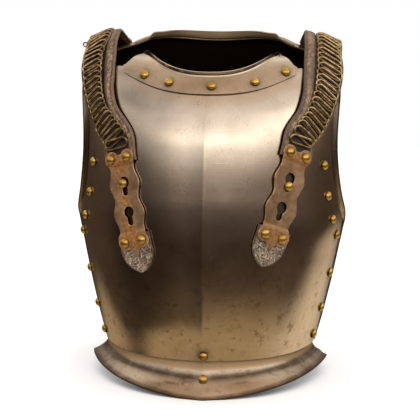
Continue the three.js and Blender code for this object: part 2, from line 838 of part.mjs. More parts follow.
// Rivets: a low dome turned about its own axis, set down on a surface
function turned(profile) {
  const points = profile.map(([radius, height]) => new THREE.Vector2(radius, height));
  const geometry = new THREE.LatheGeometry(points, dome_sides);
  geometry.rotateX(Math.PI / 2);
  return geometryOf(solidOf(geometry));
}

function domeProfile(radius, height, base) {
  const profile = [];
  for (let i = 0; i < dome_rings; i += 1) {
    const angle = (Math.PI / 2) * (i / dome_rings);
    profile.push([radius * Math.cos(angle), base + height * Math.sin(angle)]);
  }
  profile.push([0, base + height]);
  return profile;
}

const dome = turned([[0, 0], ...domeProfile(rivet_radius, rivet_height, 0)]);

function setDown(geometry, point, normal) {
  const placed = geometry.clone();
  placed.applyQuaternion(new THREE.Quaternion().setFromUnitVectors(up, normal));
  placed.translate(point.x, point.y, point.z);
  return placed;
}

// Where a line along a surface's normal first meets a mesh, raised so that a flat round foot of the
// given radius clears the steel all round
function seatOn(mesh, place, normal, radius) {
  const look = (from, direction) => {
    const ray = new THREE.Raycaster(move(from, [direction, ray_start]), direction.clone().negate());
    return ray.intersectObject(mesh)[0];
  };
  const hit = look(place, normal);
  const axis = hit.face.normal.clone();
  const turn = new THREE.Quaternion().setFromUnitVectors(up, axis);
  let lift = 0;
  const looks = 4 * dome_sides;
  for (let i = 0; i < looks; i += 1) {
    const angle = (2 * Math.PI * i) / looks;
    const spoke = new THREE.Vector3(Math.cos(angle), Math.sin(angle), 0).applyQuaternion(turn);
    const rim = look(move(hit.point, [spoke, radius]), axis);
    if (rim) lift = Math.max(lift, rim.point.sub(hit.point).dot(axis));
  }
  return { point: move(hit.point, [axis, lift + seat_gap]), normal: axis };
}

function addRivet(name, mesh, place, normal) {
  const seat = seatOn(mesh, place, normal, rivet_radius);
  addPiece(name, setDown(dome, seat.point, seat.normal), brass);
}

neck_rivet_shares.forEach((share, i) => {
  const side = breast.sideAt(share * neck_half_width, breast_neck_rise);
  const place = walkLength(
    (rise) => breast.point(side, rise),
    breastSeam(side),
    sample_share,
    neck_rivet_seam_distance,
  );
  addRivet(
    `neck_rivet_${i + 1}`,
    breast_band_mesh,
    breast.point(side, place),
    breast.normal(side, place),
  );
});

for (const [name, side] of [['left', 1], ['right', -1]]) {
  side_rivet_shares.forEach((share, i) => {
    const rise = breast.riseAt(share.height * armpit_height);
    const place = side * share.side;
    addRivet(
      `${name}_side_rivet_${i + 1}`,
      breast_shell_mesh,
      breast.point(place, rise),
      breast.normal(place, rise),
    );
  });
}

const waist_seat = breast.at(0, waist_height + waist_rivet_edge_distance);
addRivet('waist_rivet', breast_shell_mesh, waist_seat.point, waist_seat.normal);
addRivet(
  'flange_rivet',
  breast_flange_mesh,
  new THREE.Vector3(0, -chest_depth, flange_rivet_height),
  forward,
);

// A path laid on the breastplate. Lengths along it are measured up from the upper round hole.
function platePath(side, lean, travel, twist) {
  const start = breast.at(side * stud_side, stud_rise);
  const upward = up.clone().addScaledVector(start.normal, -up.dot(start.normal)).normalize();
  const sideways = upward.clone().cross(start.normal);
  const heading = upward.multiplyScalar(Math.cos(lean)).addScaledVector(sideways, side * Math.sin(lean));
  const walk = (sign) => {
    const frames = [];
    let { point, normal } = start;
    const along = heading.clone();
    const count = Math.ceil((keyhole_pitch * plate_path_pitches) / path_step);
    for (let i = 0; i <= count; i += 1) {
      along.addScaledVector(normal, -along.dot(normal)).normalize();
      frames.push({ point, out: normal, along: along.clone() });
      const next = move(point, [along, sign * path_step]);
      ({ point, normal } = breast.at(next.x, next.z));
    }
    return frames;
  };
  const frames = [...walk(-1).reverse(), ...walk(1).slice(1)];
  const origin = (frames.length - 1) / 2;
  return (length) => {
    const place = clamp(origin + (length + travel) / path_step, 0, frames.length - 1.001);
    const low = frames[Math.floor(place)];
    const high = frames[Math.floor(place) + 1];
    const share = place % 1;
    const point = low.point.clone().lerp(high.point, share);
    const along = low.along.clone().lerp(high.along, share).normalize();
    const level = low.out.clone().lerp(high.out, share);
    level.addScaledVector(along, -level.dot(along)).normalize();
    const out = level.applyAxisAngle(along, twist);
    return { point, along, out, across: along.clone().cross(out) };
  };
}

function inFrame(frame, across, out) {
  return move(frame.point, [frame.across, across], [frame.out, out]);
}

// A strip along a path, with a row of corners at each of the lengths
function ribbon(path, lengths, halfWidth, low, high) {
  const outer = [];
  const inner = [];
  for (const length of lengths) {
    const frame = path(length);
    const row = [];
    const under = [];
    for (let j = 0; j <= ribbon_columns; j += 1) {
      const across = lerp(-1, 1, j / ribbon_columns) * halfWidth(length);
      row.push(inFrame(frame, across, high));
      under.push(inFrame(frame, across, low));
    }
    outer.push(row);
    inner.push(under);
  }
  return wallBetween(outer, inner);
}

function evenly(from, to, steps) {
  const count = steps ?? Math.max(1, Math.round((to - from) / ribbon_step));
  return Array.from({ length: count + 1 }, (_, i) => lerp(from, to, i / count));
}

// The plate's outline, right half from the notch at the top to the point at the bottom
function plateOutline() {
  const half = plate_rivet_spacing / 2;
  const points = [];
  const lobe = (centre, from, to) => {
    for (let i = 0; i <= lobe_steps; i += 1) {
      const angle = radians(lerp(from, to, i / lobe_steps));
      points.push([
        half + plate_lobe_radius * Math.cos(angle),
        centre + plate_lobe_radius * Math.sin(angle),
      ]);
    }
  };
  lobe(plate_top_rivet, plate_lobe_inner_deg, -plate_lobe_outer_deg);
  for (let i = 0; i <= wave_steps; i += 1) {
    const place = lerp(plate_top_joggle, plate_bottom_joggle, i / wave_steps);
    const turn = (2 * Math.PI * (place - plate_wave_top)) / keyhole_pitch;
    points.push([plate_half_width + plate_wave * Math.cos(turn), place]);
  }
  lobe(plate_bottom_rivet, plate_lobe_outer_deg, -plate_lobe_lower_deg);
  const shoulder = plate_point + plate_point_length;
  points.push([plate_point_half_width * plate_point_root_share, shoulder]);
  points.push([plate_point_half_width, lerp(shoulder, plate_point, plate_point_bend_share)]);
  const shape = new THREE.Shape();
  shape.moveTo(0, plate_notch);
  for (const [x, y] of points) shape.lineTo(x, y);
  shape.lineTo(0, plate_point);
  for (const [x, y] of points.reverse()) shape.lineTo(-x, y);
  for (const centre of [0, -keyhole_pitch]) {
    const hole = new THREE.Path();
    const open = Math.asin(keyhole_slot_radius / keyhole_radius);
    for (let i = 0; i <= hole_steps; i += 1) {
      const angle = -Math.PI / 2 + lerp(open, 2 * Math.PI - open, i / hole_steps);
      const x = keyhole_radius * Math.cos(angle);
      const y = centre + keyhole_radius * Math.sin(angle);
      if (i === 0) hole.moveTo(x, y);
      else hole.lineTo(x, y);
    }
    for (let i = 0; i <= slot_end_steps; i += 1) {
      const angle = Math.PI + (Math.PI * i) / slot_end_steps;
      hole.lineTo(
        keyhole_slot_radius * Math.cos(angle),
        centre - keyhole_slot_length + keyhole_slot_radius * Math.sin(angle),
      );
    }
    shape.holes.push(hole);
  }
  return shape;
}

const plate_end_height = strap_lift + strap_wall + seat_gap;

// The plate flat on the bench: x across, y up its length, z off the steel
function flatPlate() {
  const side = [
    [plate_point - cut_overrun, plate_end_height],
    [plate_bottom_joggle - plate_joggle_length, plate_end_height],
    [plate_bottom_joggle, plate_stand_off],
    [plate_top_joggle, plate_stand_off],
    [plate_top_joggle + plate_joggle_length, plate_end_height],
    [plate_top_rivet + plate_lobe_radius + cut_overrun, plate_end_height],
  ];
  const profile = new THREE.Shape();
  profile.moveTo(side[0][0], side[0][1]);
  for (const [y, z] of side.slice(1)) profile.lineTo(y, z);
  for (const [y, z] of side.reverse()) profile.lineTo(y, z + plate_wall);
  const width = 2 * (plate_half_width + plate_wave + cut_overrun);
  const strip = new THREE.ExtrudeGeometry(profile, { depth: width, bevelEnabled: false });
  strip.translate(0, 0, -width / 2);
  const turn = new THREE.Matrix4().makeBasis(
    new THREE.Vector3(0, 1, 0),
    new THREE.Vector3(0, 0, 1),
    new THREE.Vector3(1, 0, 0),
  );
  strip.applyMatrix4(turn);
  const reach = plate_end_height + plate_wall + cut_overrun;
  const blank = new THREE.ExtrudeGeometry(plateOutline(), { depth: reach, bevelEnabled: false });
  return geometryOf(solidOf(strip).intersect(solidOf(blank)));
}

function bendAlong(geometry, path) {
  const bent = geometry.clone();
  const positions = bent.getAttribute('position');
  for (let i = 0; i < positions.count; i += 1) {
    const point = inFrame(path(positions.getY(i)), positions.getX(i), positions.getZ(i));
    positions.setXYZ(i, point.x, point.y, point.z);
  }
  return bent;
}

// The strap's own path: from the plate, up the breastplate, over the shoulder to the backplate
function strapPath(side, plate, joint) {
  const centre = strap_lift + strap_wall / 2;
  const knots = [];
  for (const length of [joint, joint + ribbon_step]) {
    const frame = plate(length);
    knots.push({ point: inFrame(frame, 0, centre), out: frame.out });
  }
  for (const share of strap_front_shares) {
    const seat = breast.at(side * share.out * chest_half_width, share.height * breast_shoulder_height);
    const out = seat.normal.clone().lerp(forward, share.turn).normalize();
    const lift = centre + share.turn * strap_lip_clearance;
    knots.push({ point: move(seat.point, [seat.normal, lift]), out });
  }
  const tilt = radians(strap_crest_tilt_deg);
  const tilted = new THREE.Vector3(side * Math.sin(tilt), 0, Math.cos(tilt));
  for (const share of strap_free_shares) {
    const point = new THREE.Vector3(
      side * share.out * chest_half_width,
      share.back * back_depth,
      share.breast * breast_shoulder_height + share.rear * back_shoulder_height,
    );
    const out = tilted.clone().addScaledVector(forward, -share.round).normalize();
    knots.push({ point, out });
  }
  for (const share of strap_back_shares) {
    const place = back.sideAt(side * share.out * chest_half_width, share.rise);
    const normal = back.normal(place, share.rise);
    const out = normal.clone().addScaledVector(forward, -share.turn).normalize();
    const lift = centre + share.turn * strap_lip_clearance;
    knots.push({ point: move(back.point(place, share.rise), [normal, lift]), out });
  }
  const curve = new THREE.CatmullRomCurve3(knots.map((knot) => knot.point));
  const facing = new THREE.CatmullRomCurve3(knots.map((knot) => knot.out));
  const samples = [];
  const count = path_samples * (knots.length - 1);
  for (let i = 0; i <= count; i += 1) {
    samples.push({ point: curve.getPoint(i / count), out: facing.getPoint(i / count) });
  }
  const runs = [0];
  for (let i = 1; i <= count; i += 1) {
    runs.push(runs[i - 1] + samples[i].point.distanceTo(samples[i - 1].point));
  }
  const first = plate(joint);
  first.point = knots[0].point;
  const at = (length) => {
    if (length <= 0) return first;
    let i = 0;
    while (i < count - 1 && runs[i + 1] < length) i += 1;
    const share = (length - runs[i]) / (runs[i + 1] - runs[i]);
    const point = samples[i].point.clone().lerp(samples[i + 1].point, share);
    const before = samples[Math.max(i - 2, 0)].point;
    const after = samples[Math.min(i + 3, count)].point;
    const along = after.clone().sub(before).normalize();
    const out = samples[i].out.clone();
    out.addScaledVector(along, -out.dot(along)).normalize();
    return { point, along, out, across: along.clone().cross(out) };
  };
  const length = runs[count];
  const crest = length * solveShare((share) => at(share * length).point.y, strap_crest_depth);
  return { at, length, crest };
}

// One chain link: a ring of wire with straight long sides, lying across the strap and tipped a little
function chainLink(frame, offset, height) {
  const tilt = radians(link_tilt_deg);
  const long = frame.across.clone();
  const short = frame.along.clone().multiplyScalar(Math.cos(tilt));
  short.addScaledVector(frame.out, Math.sin(tilt));
  const face = long.clone().cross(short).normalize();
  const middle = inFrame(frame, offset, height);
  const straight = link_half_length - link_end_radius;
  const centres = [];
  for (const end of [1, -1]) {
    for (let i = 0; i <= link_end_steps; i += 1) {
      const angle = lerp(-Math.PI / 2, Math.PI / 2, i / link_end_steps);
      const away = end * Math.cos(angle);
      const rise = end * Math.sin(angle);
      const centre = move(
        middle,
        [long, end * straight + link_end_radius * away],
        [short, link_end_radius * rise],
      );
      const spoke = long.clone().multiplyScalar(away).addScaledVector(short, rise);
      centres.push({ centre, spoke });
    }
  }
  const positions = [];
  for (const { centre, spoke } of centres) {
    for (let k = 0; k < wire_sides; k += 1) {
      const angle = (2 * Math.PI * (k + 0.5)) / wire_sides;
      const point = move(
        centre,
        [spoke, link_wire_radius * Math.cos(angle)],
        [face, link_wire_radius * Math.sin(angle)],
      );
      positions.push(point.x, point.y, point.z);
    }
  }
  const faces = [];
  for (let i = 0; i < centres.length; i += 1) {
    const next = (i + 1) % centres.length;
    for (let k = 0; k < wire_sides; k += 1) {
      const turn = (k + 1) % wire_sides;
      const a = i * wire_sides + k;
      const b = next * wire_sides + k;
      const c = next * wire_sides + turn;
      const d = i * wire_sides + turn;
      faces.push(a, b, c, a, c, d);
    }
  }
  const geometry = new THREE.BufferGeometry();
  geometry.setAttribute('position', new THREE.Float32BufferAttribute(positions, 3));
  geometry.setIndex(faces);
  return geometry;
}

function chain(strap, from, to, gap, offsetAt) {
  const rise = link_end_radius * Math.sin(radians(link_tilt_deg));
  const height = strap_wall / 2 + gap + link_wire_radius + rise;
  const reach = link_end_radius + link_wire_radius;
  const room = to - from - 2 * reach;
  const count = Math.round(room / link_pitch);
  let solid = null;
  for (let i = 0; i <= count; i += 1) {
    const length = from + reach + (room * i) / count;
    const link = solidOf(chainLink(strap.at(length), offsetAt(length), height));
    solid = solid ? solid.add(link) : link;
  }
  return geometryOf(solid);
}

const flat_plate = flatPlate();
const joint = plate_top_rivet + plate_lobe_radius + strap_joint_room;
const stud_base = plate_stand_off + plate_wall + stud_head_gap;
const stud = turned([
  [0, 0],
  [stud_neck_radius, 0],
  [stud_neck_radius, stud_base - seat_gap],
  ...domeProfile(stud_radius, stud_height, stud_base - seat_gap),
]);

const strap_sides = [
  { name: 'left', side: 1, lean: left_plate_lean_deg, travel: left_stud_travel, twist: 0 },
  {
    name: 'right',
    side: -1,
    lean: right_plate_lean_deg,
    travel: right_stud_travel,
    twist: right_plate_twist_deg,
  },
];

for (const { name, side, lean, travel, twist } of strap_sides) {
  const plate = platePath(side, radians(lean), travel, radians(twist));
  const stud_place = breast.at(side * stud_side, stud_rise);
  const stud_seat = seatOn(
    breast_shell_mesh,
    stud_place.point,
    stud_place.normal,
    stud_neck_radius,
  );
  addPiece(`${name}_stud`, setDown(stud, stud_seat.point, stud_place.normal), brass);

  const plate_mesh = addPiece(`${name}_strap_plate`, bendAlong(flat_plate, plate), plate_steel);
  const top = strap_lift + strap_wall;
  const end_start = plate_top_joggle + plate_joggle_length + seat_gap;
  addPiece(
    `${name}_strap_leather_end`,
    ribbon(plate, [end_start, joint], () => strap_end_half_width, strap_lift, top),
    leather,
  );
  const tongue_start = plate_bottom_joggle - plate_joggle_length - seat_gap;
  const tongue_arch = lerp(plate_point, plate_bottom_rivet, tongue_arch_share);
  const tongueHalfWidth = (length) => {
    if (length > tongue_arch) return strap_tip_half_width;
    const share = (tongue_arch - length) / (tongue_arch - tongue_tip);
    const width = Math.max(tongue_end_share, Math.sqrt(1 - share ** tongue_round_power));
    return strap_tip_half_width * width;
  };
  addPiece(
    `${name}_strap_tongue`,
    ribbon(plate, evenly(tongue_tip, tongue_start, 9), tongueHalfWidth, strap_lift, top),
    leather,
  );
  let number = 1;
  for (const rise of [plate_top_rivet, plate_bottom_rivet]) {
    for (const across of [-1, 1]) {
      const frame = plate(rise);
      const place = inFrame(frame, (across * plate_rivet_spacing) / 2, plate_end_height);
      addRivet(`${name}_plate_rivet_${number}`, plate_mesh, place, frame.out);
      number += 1;
    }
  }

  const strap = strapPath(side, plate, joint + seat_gap);
  const end = strap.length;
  const halfWidth = (length) => {
    const front = blendBetween(length, 0, strap.crest * strap_widen_share);
    const rear = blendBetween(length, strap.crest * strap_narrow_share, end);
    return lerp(lerp(strap_end_half_width, strap_half_width, front), strap_anchor_half_width, rear);
  };
  const half = strap_wall / 2;
  const anchor_start = end - anchor_length;
  const anchor_rows = evenly(anchor_start, end, 2);
  const front_end = strap.crest - seat_gap / 2;
  const rear_start = strap.crest + seat_gap / 2;
  addPiece(
    `${name}_strap_leather_front`,
    ribbon(strap.at, evenly(0, front_end), halfWidth, -half, half),
    leather,
  );
  const rear_rows = [...evenly(rear_start, anchor_start), ...anchor_rows.slice(1)];
  addPiece(
    `${name}_strap_leather_rear`,
    ribbon(strap.at, rear_rows, halfWidth, -half, half),
    leather,
  );
  const offsetAt = (length) => {
    const front = blendBetween(length, 0, strap.crest * chain_shift_share);
    const rear = blendBetween(length, strap.crest, end);
    return side * lerp(lerp(chain_plate_offset, chain_shoulder_offset, front), 0, rear);
  };
  addPiece(
    `${name}_strap_chain_front`,
    chain(strap, 0, front_end, chain_front_gap, offsetAt),
    old_brass,
  );
  addPiece(
    `${name}_strap_chain_rear`,
    chain(strap, rear_start, anchor_start - seat_gap, chain_rear_gap, offsetAt),
    old_brass,
  );
  const anchor_low = half + anchor_gap;
  const anchor_high = anchor_low + anchor_wall;
  const anchor_mesh = addPiece(
    `${name}_anchor_plate`,
    ribbon(strap.at, anchor_rows, () => anchor_half_width, anchor_low, anchor_high),
    plate_steel,
  );
  [-1, 1].forEach((across, i) => {
    const frame = strap.at(lerp(anchor_start, end, 0.5));
    const place = inFrame(frame, (across * anchor_rivet_spacing) / 2, anchor_high);
    addRivet(`${name}_anchor_rivet_${i + 1}`, anchor_mesh, place, frame.out);
  });
}

// the origin lies on the floor, under the middle of the whole
const whole = new THREE.Box3().setFromObject(group);
group.position.y = -(whole.min.y + whole.max.y) / 2;

export default group;
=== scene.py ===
"""Looks of a heavy cavalry cuirass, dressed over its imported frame.

Shapes are worked out in millimetres from the side line of the body and turned into metres when a
mesh is made. Z points up and the wearer faces -Y. Every random number comes from a fixed seed."""

import math

import bmesh
import bpy
import numpy as np
from mathutils import Matrix, Vector


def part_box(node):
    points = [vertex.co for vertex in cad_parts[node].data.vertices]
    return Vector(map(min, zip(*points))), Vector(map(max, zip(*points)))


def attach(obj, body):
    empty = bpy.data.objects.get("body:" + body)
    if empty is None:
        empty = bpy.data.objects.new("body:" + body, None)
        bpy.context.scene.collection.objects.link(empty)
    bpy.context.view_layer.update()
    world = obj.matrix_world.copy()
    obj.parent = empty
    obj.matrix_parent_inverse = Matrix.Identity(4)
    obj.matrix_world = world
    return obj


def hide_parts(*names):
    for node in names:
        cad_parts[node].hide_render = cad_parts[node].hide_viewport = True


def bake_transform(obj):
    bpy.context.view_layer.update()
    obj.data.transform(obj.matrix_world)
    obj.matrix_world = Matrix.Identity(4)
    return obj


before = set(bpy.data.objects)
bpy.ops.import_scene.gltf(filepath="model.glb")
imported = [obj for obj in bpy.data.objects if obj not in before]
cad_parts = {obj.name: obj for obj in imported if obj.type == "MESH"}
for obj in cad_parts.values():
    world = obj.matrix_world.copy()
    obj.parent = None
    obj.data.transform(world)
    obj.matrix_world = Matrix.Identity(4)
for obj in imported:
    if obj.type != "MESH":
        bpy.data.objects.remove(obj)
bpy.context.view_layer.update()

METRE = 0.001

# The body, as the solids have it
WAIST = 40
ARMPIT = 198
CHEST_HALF = 169
CHEST_DEPTH = 148
BACK_DEPTH = 134
NECK_HALF = 84
SEAT = 0.3
BREAST_WALL = 2.8
BREAST_TOP = 404
BREAST_NECK = 380
BREAST_SHOULDER = 392
BREAST_SHOULDER_HALF = 153
BREAST_LIP = 7.5
BREAST_SIDE_LIP = 3
BREAST_WAIST_LIP = 1.2
RIDGE = 3.2
RIDGE_HALF = 26
RIDGE_END = (0.62, 0.8)
ARMHOLE_END = (0.78, 0.88)
BACK_WALL = 1.6
BACK_TOP = 424
BACK_NECK = 420.5
BACK_SHOULDER_HALF = 150
BELOW_CREST = 0.9
SHOULDER_SLOPE = 0.3
SLOPE_START = (0.75, 0.88)
BACK_LIP = 3
BACK_TUCK = 7
TUCK_GAP = 1.4
LIP_SWEEP = 66

# Armholes: how far the edge is set back at the armpit, scooped out and set back at the shoulder
BREAST_ARMHOLE = (2, 43, 24)
BACK_ARMHOLE = (0, 36, 14)
ARMHOLE_SKEW = 0.66
ARMHOLE_POWER = 1.2

# Neck bands and waist flanges
BAND_WALL = 1.8
BREAST_BAND_HALF = 106
BREAST_BAND_WIDTH = 24
BREAST_BAND_END_WIDTH = 11
BACK_BAND_REACH = 1.22
BACK_BAND_WIDTH = 22
BACK_BAND_END_WIDTH = 14
SEAM_POWER = 2.6
THROAT_POWER = 3
NAPE_POWER = 2.4
BACK_CORNER = 0.6
COLLAR_SWEEP = 62
COLLAR_END_SHARE = 0.1
FLANGE_SWEEP = 64
FLANGE_POWER = 2.4
FLANGE_TUCK = 12
CORNER_POWER = 1.25

# Counts and small steps of the fine meshes
BREAST_COLUMNS = (60, 18, 46)
BREAST_ROWS = 118
BACK_COLUMNS = (40, 10, 30)
BACK_ROWS = 90
BAND_ROWS = 9
LIP_STEPS = 8
COLLAR_STEPS = 10
COLLAR_RISE_STEPS = 3
FLANGE_STEPS = 18
FLANGE_TUCK_STEPS = 3
SLOPE_STEP = 0.002
MOST_STRIDES = 200

# Level sections from the waist up: height, depth, width, centre, square
BREAST_SECTIONS = [
    (0, 0.851, 0.814, 0.2, 2.15),
    (0.11, 0.926, 0.867, 0.2, 2.15),
    (0.22, 0.973, 0.92, 0.2, 2.15),
    (0.33, 0.997, 0.967, 0.2, 2.15),
    (0.434, 1, 1.006, 0.2, 2.15),
    (0.55, 0.986, 0.998, 0.2, 2.15),
    (0.714, 0.926, 1.011, 0.2, 2.1),
    (0.824, 0.838, 1.047, 0.17, 1.95),
    (0.885, 0.757, 1.071, 0.12, 1.8),
    (0.934, 0.655, 1.083, 0.07, 1.65),
    (0.967, 0.554, 1.071, 0.03, 1.65),
    (0.989, 0.419, 1.065, 0.01, 1.65),
    (1, 0.21, 1.065, 0, 1.7),
]
BACK_SECTIONS = [
    (0, 0.72, 0.776, 0, 2.2),
    (0.104, 0.77, 0.829, 0, 2.2),
    (0.208, 0.84, 0.883, 0, 2.2),
    (0.312, 0.905, 0.93, 0, 2.2),
    (0.411, 0.945, 0.969, 0, 2.2),
    (0.573, 0.995, 0.94, 0, 2.2),
    (0.729, 1, 0.932, 0, 2.2),
    (0.833, 0.955, 0.935, 0, 2.1),
    (0.917, 0.88, 0.945, 0, 1.95),
    (0.969, 0.8, 0.955, 0, 1.85),
    (0.99, 0.724, 0.96, 0, 1.8),
    (1, 0.58, 0.96, 0, 1.8),
    (0.998, 0.42, 0.955, 0, 1.75),
    (0.992, 0.224, 0.945, 0, 1.7),
]


def lerp(a, b, t):
    return a + (b - a) * t


def smooth(value, low, high):
    t = np.clip((np.asarray(value, float) - low) / (high - low), 0, 1)
    return t * t * (3 - 2 * t)


def unit(v):
    return v / np.linalg.norm(v, axis=-1, keepdims=True)


def paired(*values):
    """Numbers or arrays brought to one shape."""
    return np.broadcast_arrays(*(np.asarray(value, float) for value in values))


def running_length(points, axis=0):
    """How far each point of a line lies from the line's first one, for the lines along an axis."""
    steps = np.linalg.norm(np.diff(points, axis=axis), axis=-1)
    start = np.zeros_like(np.take(steps, [0], axis=axis))
    return np.concatenate([start, np.cumsum(steps, axis=axis)], axis=axis)


def quads(*corners):
    return np.stack(corners, -1).reshape(-1, 4)


def curve_through(rows):
    """A smooth curve through rows of numbers, run by the distance between their first two."""
    rows = np.array(rows, float)
    runs = running_length(rows[:, :2])
    index = np.arange(len(rows))
    low, high = np.maximum(index - 1, 0), np.minimum(index + 1, len(rows) - 1)
    slopes = (rows[high] - rows[low]) / (runs[high] - runs[low])[:, None]

    def at(share):
        run = np.clip(np.asarray(share, float), 0, 1) * runs[-1]
        i = np.searchsorted(runs[1:-1], run, side="left")
        span = (runs[i + 1] - runs[i])[..., None]
        t = (run - runs[i])[..., None] / span
        row = (2 * t**3 - 3 * t**2 + 1) * rows[i] + (t**3 - 2 * t**2 + t) * slopes[i] * span
        row += (3 * t**2 - 2 * t**3) * rows[i + 1] + (t**3 - t**2) * slopes[i + 1] * span
        return np.moveaxis(row, -1, 0)

    return at


def solve(value_at, target):
    """The share between 0 and 1 at which a rising function reaches a target."""
    low, high = 0.0, 1.0
    for _ in range(40):
        middle = (low + high) / 2
        if value_at(middle) < target:
            low = middle
        else:
            high = middle
    return (low + high) / 2


class BodyShell:
    """One half of the body: side runs from -1 to 1 between the cut edges, rise from waist to shoulder."""

    def __init__(self, section, facing, edge_depth, shoulder_half, shape):
        self.section = section
        self.facing = facing
        self.edge_depth = edge_depth
        self.shoulder_half = shoulder_half
        self.shape = shape
        rises = np.linspace(0, 1, 401)
        self.crest = rises[::-1][np.argmax(section(rises)[0][::-1])]

    def edge_angle(self, rise):
        """The section's angle at its cut edge: the armhole's below, the shoulder's end above."""
        height, depth, width, centre, square = self.section(rise)
        share = (self.edge_depth(rise) + centre) / (depth + centre)
        armhole = np.arccos(np.clip(share, 0, 1) ** (square / 2))
        shoulder = np.arcsin(np.minimum(self.shoulder_half / width, 1) ** (square / 2))
        return lerp(armhole, shoulder, smooth(rise, *ARMHOLE_END))

    def point(self, side, rise):
        side, rise = paired(side, rise)
        height, depth, width, centre, square = self.section(rise)
        angle = np.abs(side) * self.edge_angle(rise)
        x = np.sign(side) * width * np.sin(angle) ** (2 / square)
        y = (depth + centre) * np.cos(angle) ** (2 / square) - centre
        out, lift = self.shape(np.abs(x), rise)
        return np.stack([x, self.facing * (y + out), height + lift], -1)

    def normal(self, side, rise):
        side, rise = paired(side, rise)
        right, left = np.minimum(side + SLOPE_STEP, 1), np.maximum(side - SLOPE_STEP, -1)
        above, below = np.minimum(rise + SLOPE_STEP, 1), np.maximum(rise - SLOPE_STEP, 0)
        across = self.point(right, rise) - self.point(left, rise)
        along = self.point(side, above) - self.point(side, below)
        return unit(np.cross(across, along) * -self.facing)

    def rise_at(self, height):
        return self.crest * solve(lambda share: self.section(share * self.crest)[0], height)

    def side_at(self, x, rise):
        height, depth, width, centre, square = self.section(rise)
        angle = np.arcsin(np.minimum(np.abs(x) / width, 1) ** (square / 2))
        return np.sign(x) * angle / self.edge_angle(rise)

    def at(self, x, height):
        """The point of the shell at a distance from the middle and a height, and its direction outwards."""
        rise = self.rise_at(height)
        side = self.side_at(x, rise)
        return self.point(side, rise), self.normal(side, rise)

    def rise_below(self, side, rise, length, step=SLOPE_STEP):
        """The rises that lie a given length of steel below others."""
        side, rise, length = paired(side, rise, length)
        place, run = rise.copy(), np.zeros(rise.shape)
        for _ in range(MOST_STRIDES):
            going = run < length
            if not going.any():
                break
            stride = np.linalg.norm(self.point(side, place) - self.point(side, place - step), axis=-1)
            part = np.clip((length - run) / np.maximum(stride, 1e-9), 0, 1)
            place = np.where(going, place - step * part, place)
            run = np.where(going, run + stride, run)
        return place


def armhole_edge(share, setback, scoop, shoulder):
    """How far an armhole's edge is set back, by the share of the way from armpit to shoulder."""
    way = np.clip(share, 0, 1)
    hollow = np.maximum(np.sin(np.pi * way**ARMHOLE_SKEW), 0) ** ARMHOLE_POWER
    return lerp(setback, shoulder, way) + scoop * hollow


def section_of(sections, top, full_depth):
    """A curve through level sections, turned from shares of the body's sizes into millimetres."""
    rows = []
    for height, depth, width, centre, square in sections:
        row = (lerp(WAIST, top, height), depth * full_depth, width * CHEST_HALF, centre * full_depth, square)
        rows.append(row)
    return curve_through(rows)


def body_half(sections, top, depth, facing, armhole, shoulder_half, shape, below=1):
    """One half of the body, and the rise of its armpit, which lies below a share of all rises."""
    section = section_of(sections, top, depth)
    armpit = solve(lambda share: section(share * below)[0], ARMPIT) * below

    def edge_depth(rise):
        return armhole_edge((rise - armpit) / (1 - armpit), *armhole)

    return BodyShell(section, facing, edge_depth, shoulder_half, shape), armpit


def breast_shape(x, rise):
    """The breast's ridge: how far it stands out, and no lift."""
    fade = 1 - smooth(rise, *RIDGE_END)
    return RIDGE * fade * np.maximum(0, 1 - x / RIDGE_HALF) ** 2, 0 * x


def back_shape(x, rise):
    """The back's shoulders: nothing stands out, and they fall outwards beyond the neck."""
    return 0 * x, -smooth(rise, *SLOPE_START) * SHOULDER_SLOPE * np.maximum(0, x - NECK_HALF)


breast, breast_armpit = body_half(
    BREAST_SECTIONS, BREAST_TOP, CHEST_DEPTH, -1, BREAST_ARMHOLE, BREAST_SHOULDER_HALF, breast_shape
)
back, back_armpit = body_half(
    BACK_SECTIONS, BACK_TOP, BACK_DEPTH, 1, BACK_ARMHOLE, BACK_SHOULDER_HALF, back_shape, BELOW_CREST
)

breast_neck_side = float(breast.side_at(NECK_HALF, 1))
breast_neck_rise = breast.rise_at(BREAST_NECK)
breast_shoulder_rise = breast.rise_at(BREAST_SHOULDER)
breast_band_side = float(breast.side_at(BREAST_BAND_HALF, breast_shoulder_rise))


def breast_top(side):
    across = np.abs(side)
    bend = 1 - np.sqrt(1 - np.minimum(across / breast_neck_side, 1) ** THROAT_POWER)
    throat = lerp(breast_neck_rise, 1, bend)
    shoulder = lerp(1, breast_shoulder_rise, smooth(across, breast_neck_side, breast_band_side))
    return np.where(across < breast_neck_side, throat, shoulder)


breast_seam_low = float(breast.rise_below(0, breast_neck_rise, BREAST_BAND_WIDTH))
breast_seam_end = float(
    breast.rise_below(breast_band_side, breast_shoulder_rise, BREAST_BAND_END_WIDTH)
)


def seam_through(low, end, band_side):
    """The lower edge of a neck band: rises by side, from the middle to the band's end."""

    def seam(side):
        across = np.minimum(np.abs(side) / band_side, 1)
        return lerp(low, end, across**SEAM_POWER)

    return seam


breast_seam = seam_through(breast_seam_low, breast_seam_end, breast_band_side)

back_neck_rise = back.rise_at(BACK_NECK)
back_corner_rise = lerp(back.crest, 1, BACK_CORNER)
back_neck_side = float(back.side_at(NECK_HALF, back_corner_rise))
back_band_side = back_neck_side * BACK_BAND_REACH


def back_top(side):
    across = np.abs(side)
    bend = np.minimum(across / back_neck_side, 1) ** NAPE_POWER
    nape = lerp(back_neck_rise, back_corner_rise, bend)
    shoulder = lerp(back_corner_rise, 1, smooth(across, back_neck_side, back_band_side))
    return np.where(across < back_neck_side, nape, shoulder)


back_seam_low = float(back.rise_below(0, back_neck_rise, BACK_BAND_WIDTH))
back_seam_end = float(back.rise_below(back_band_side, 1, BACK_BAND_END_WIDTH))
back_seam = seam_through(back_seam_low, back_seam_end, back_band_side)


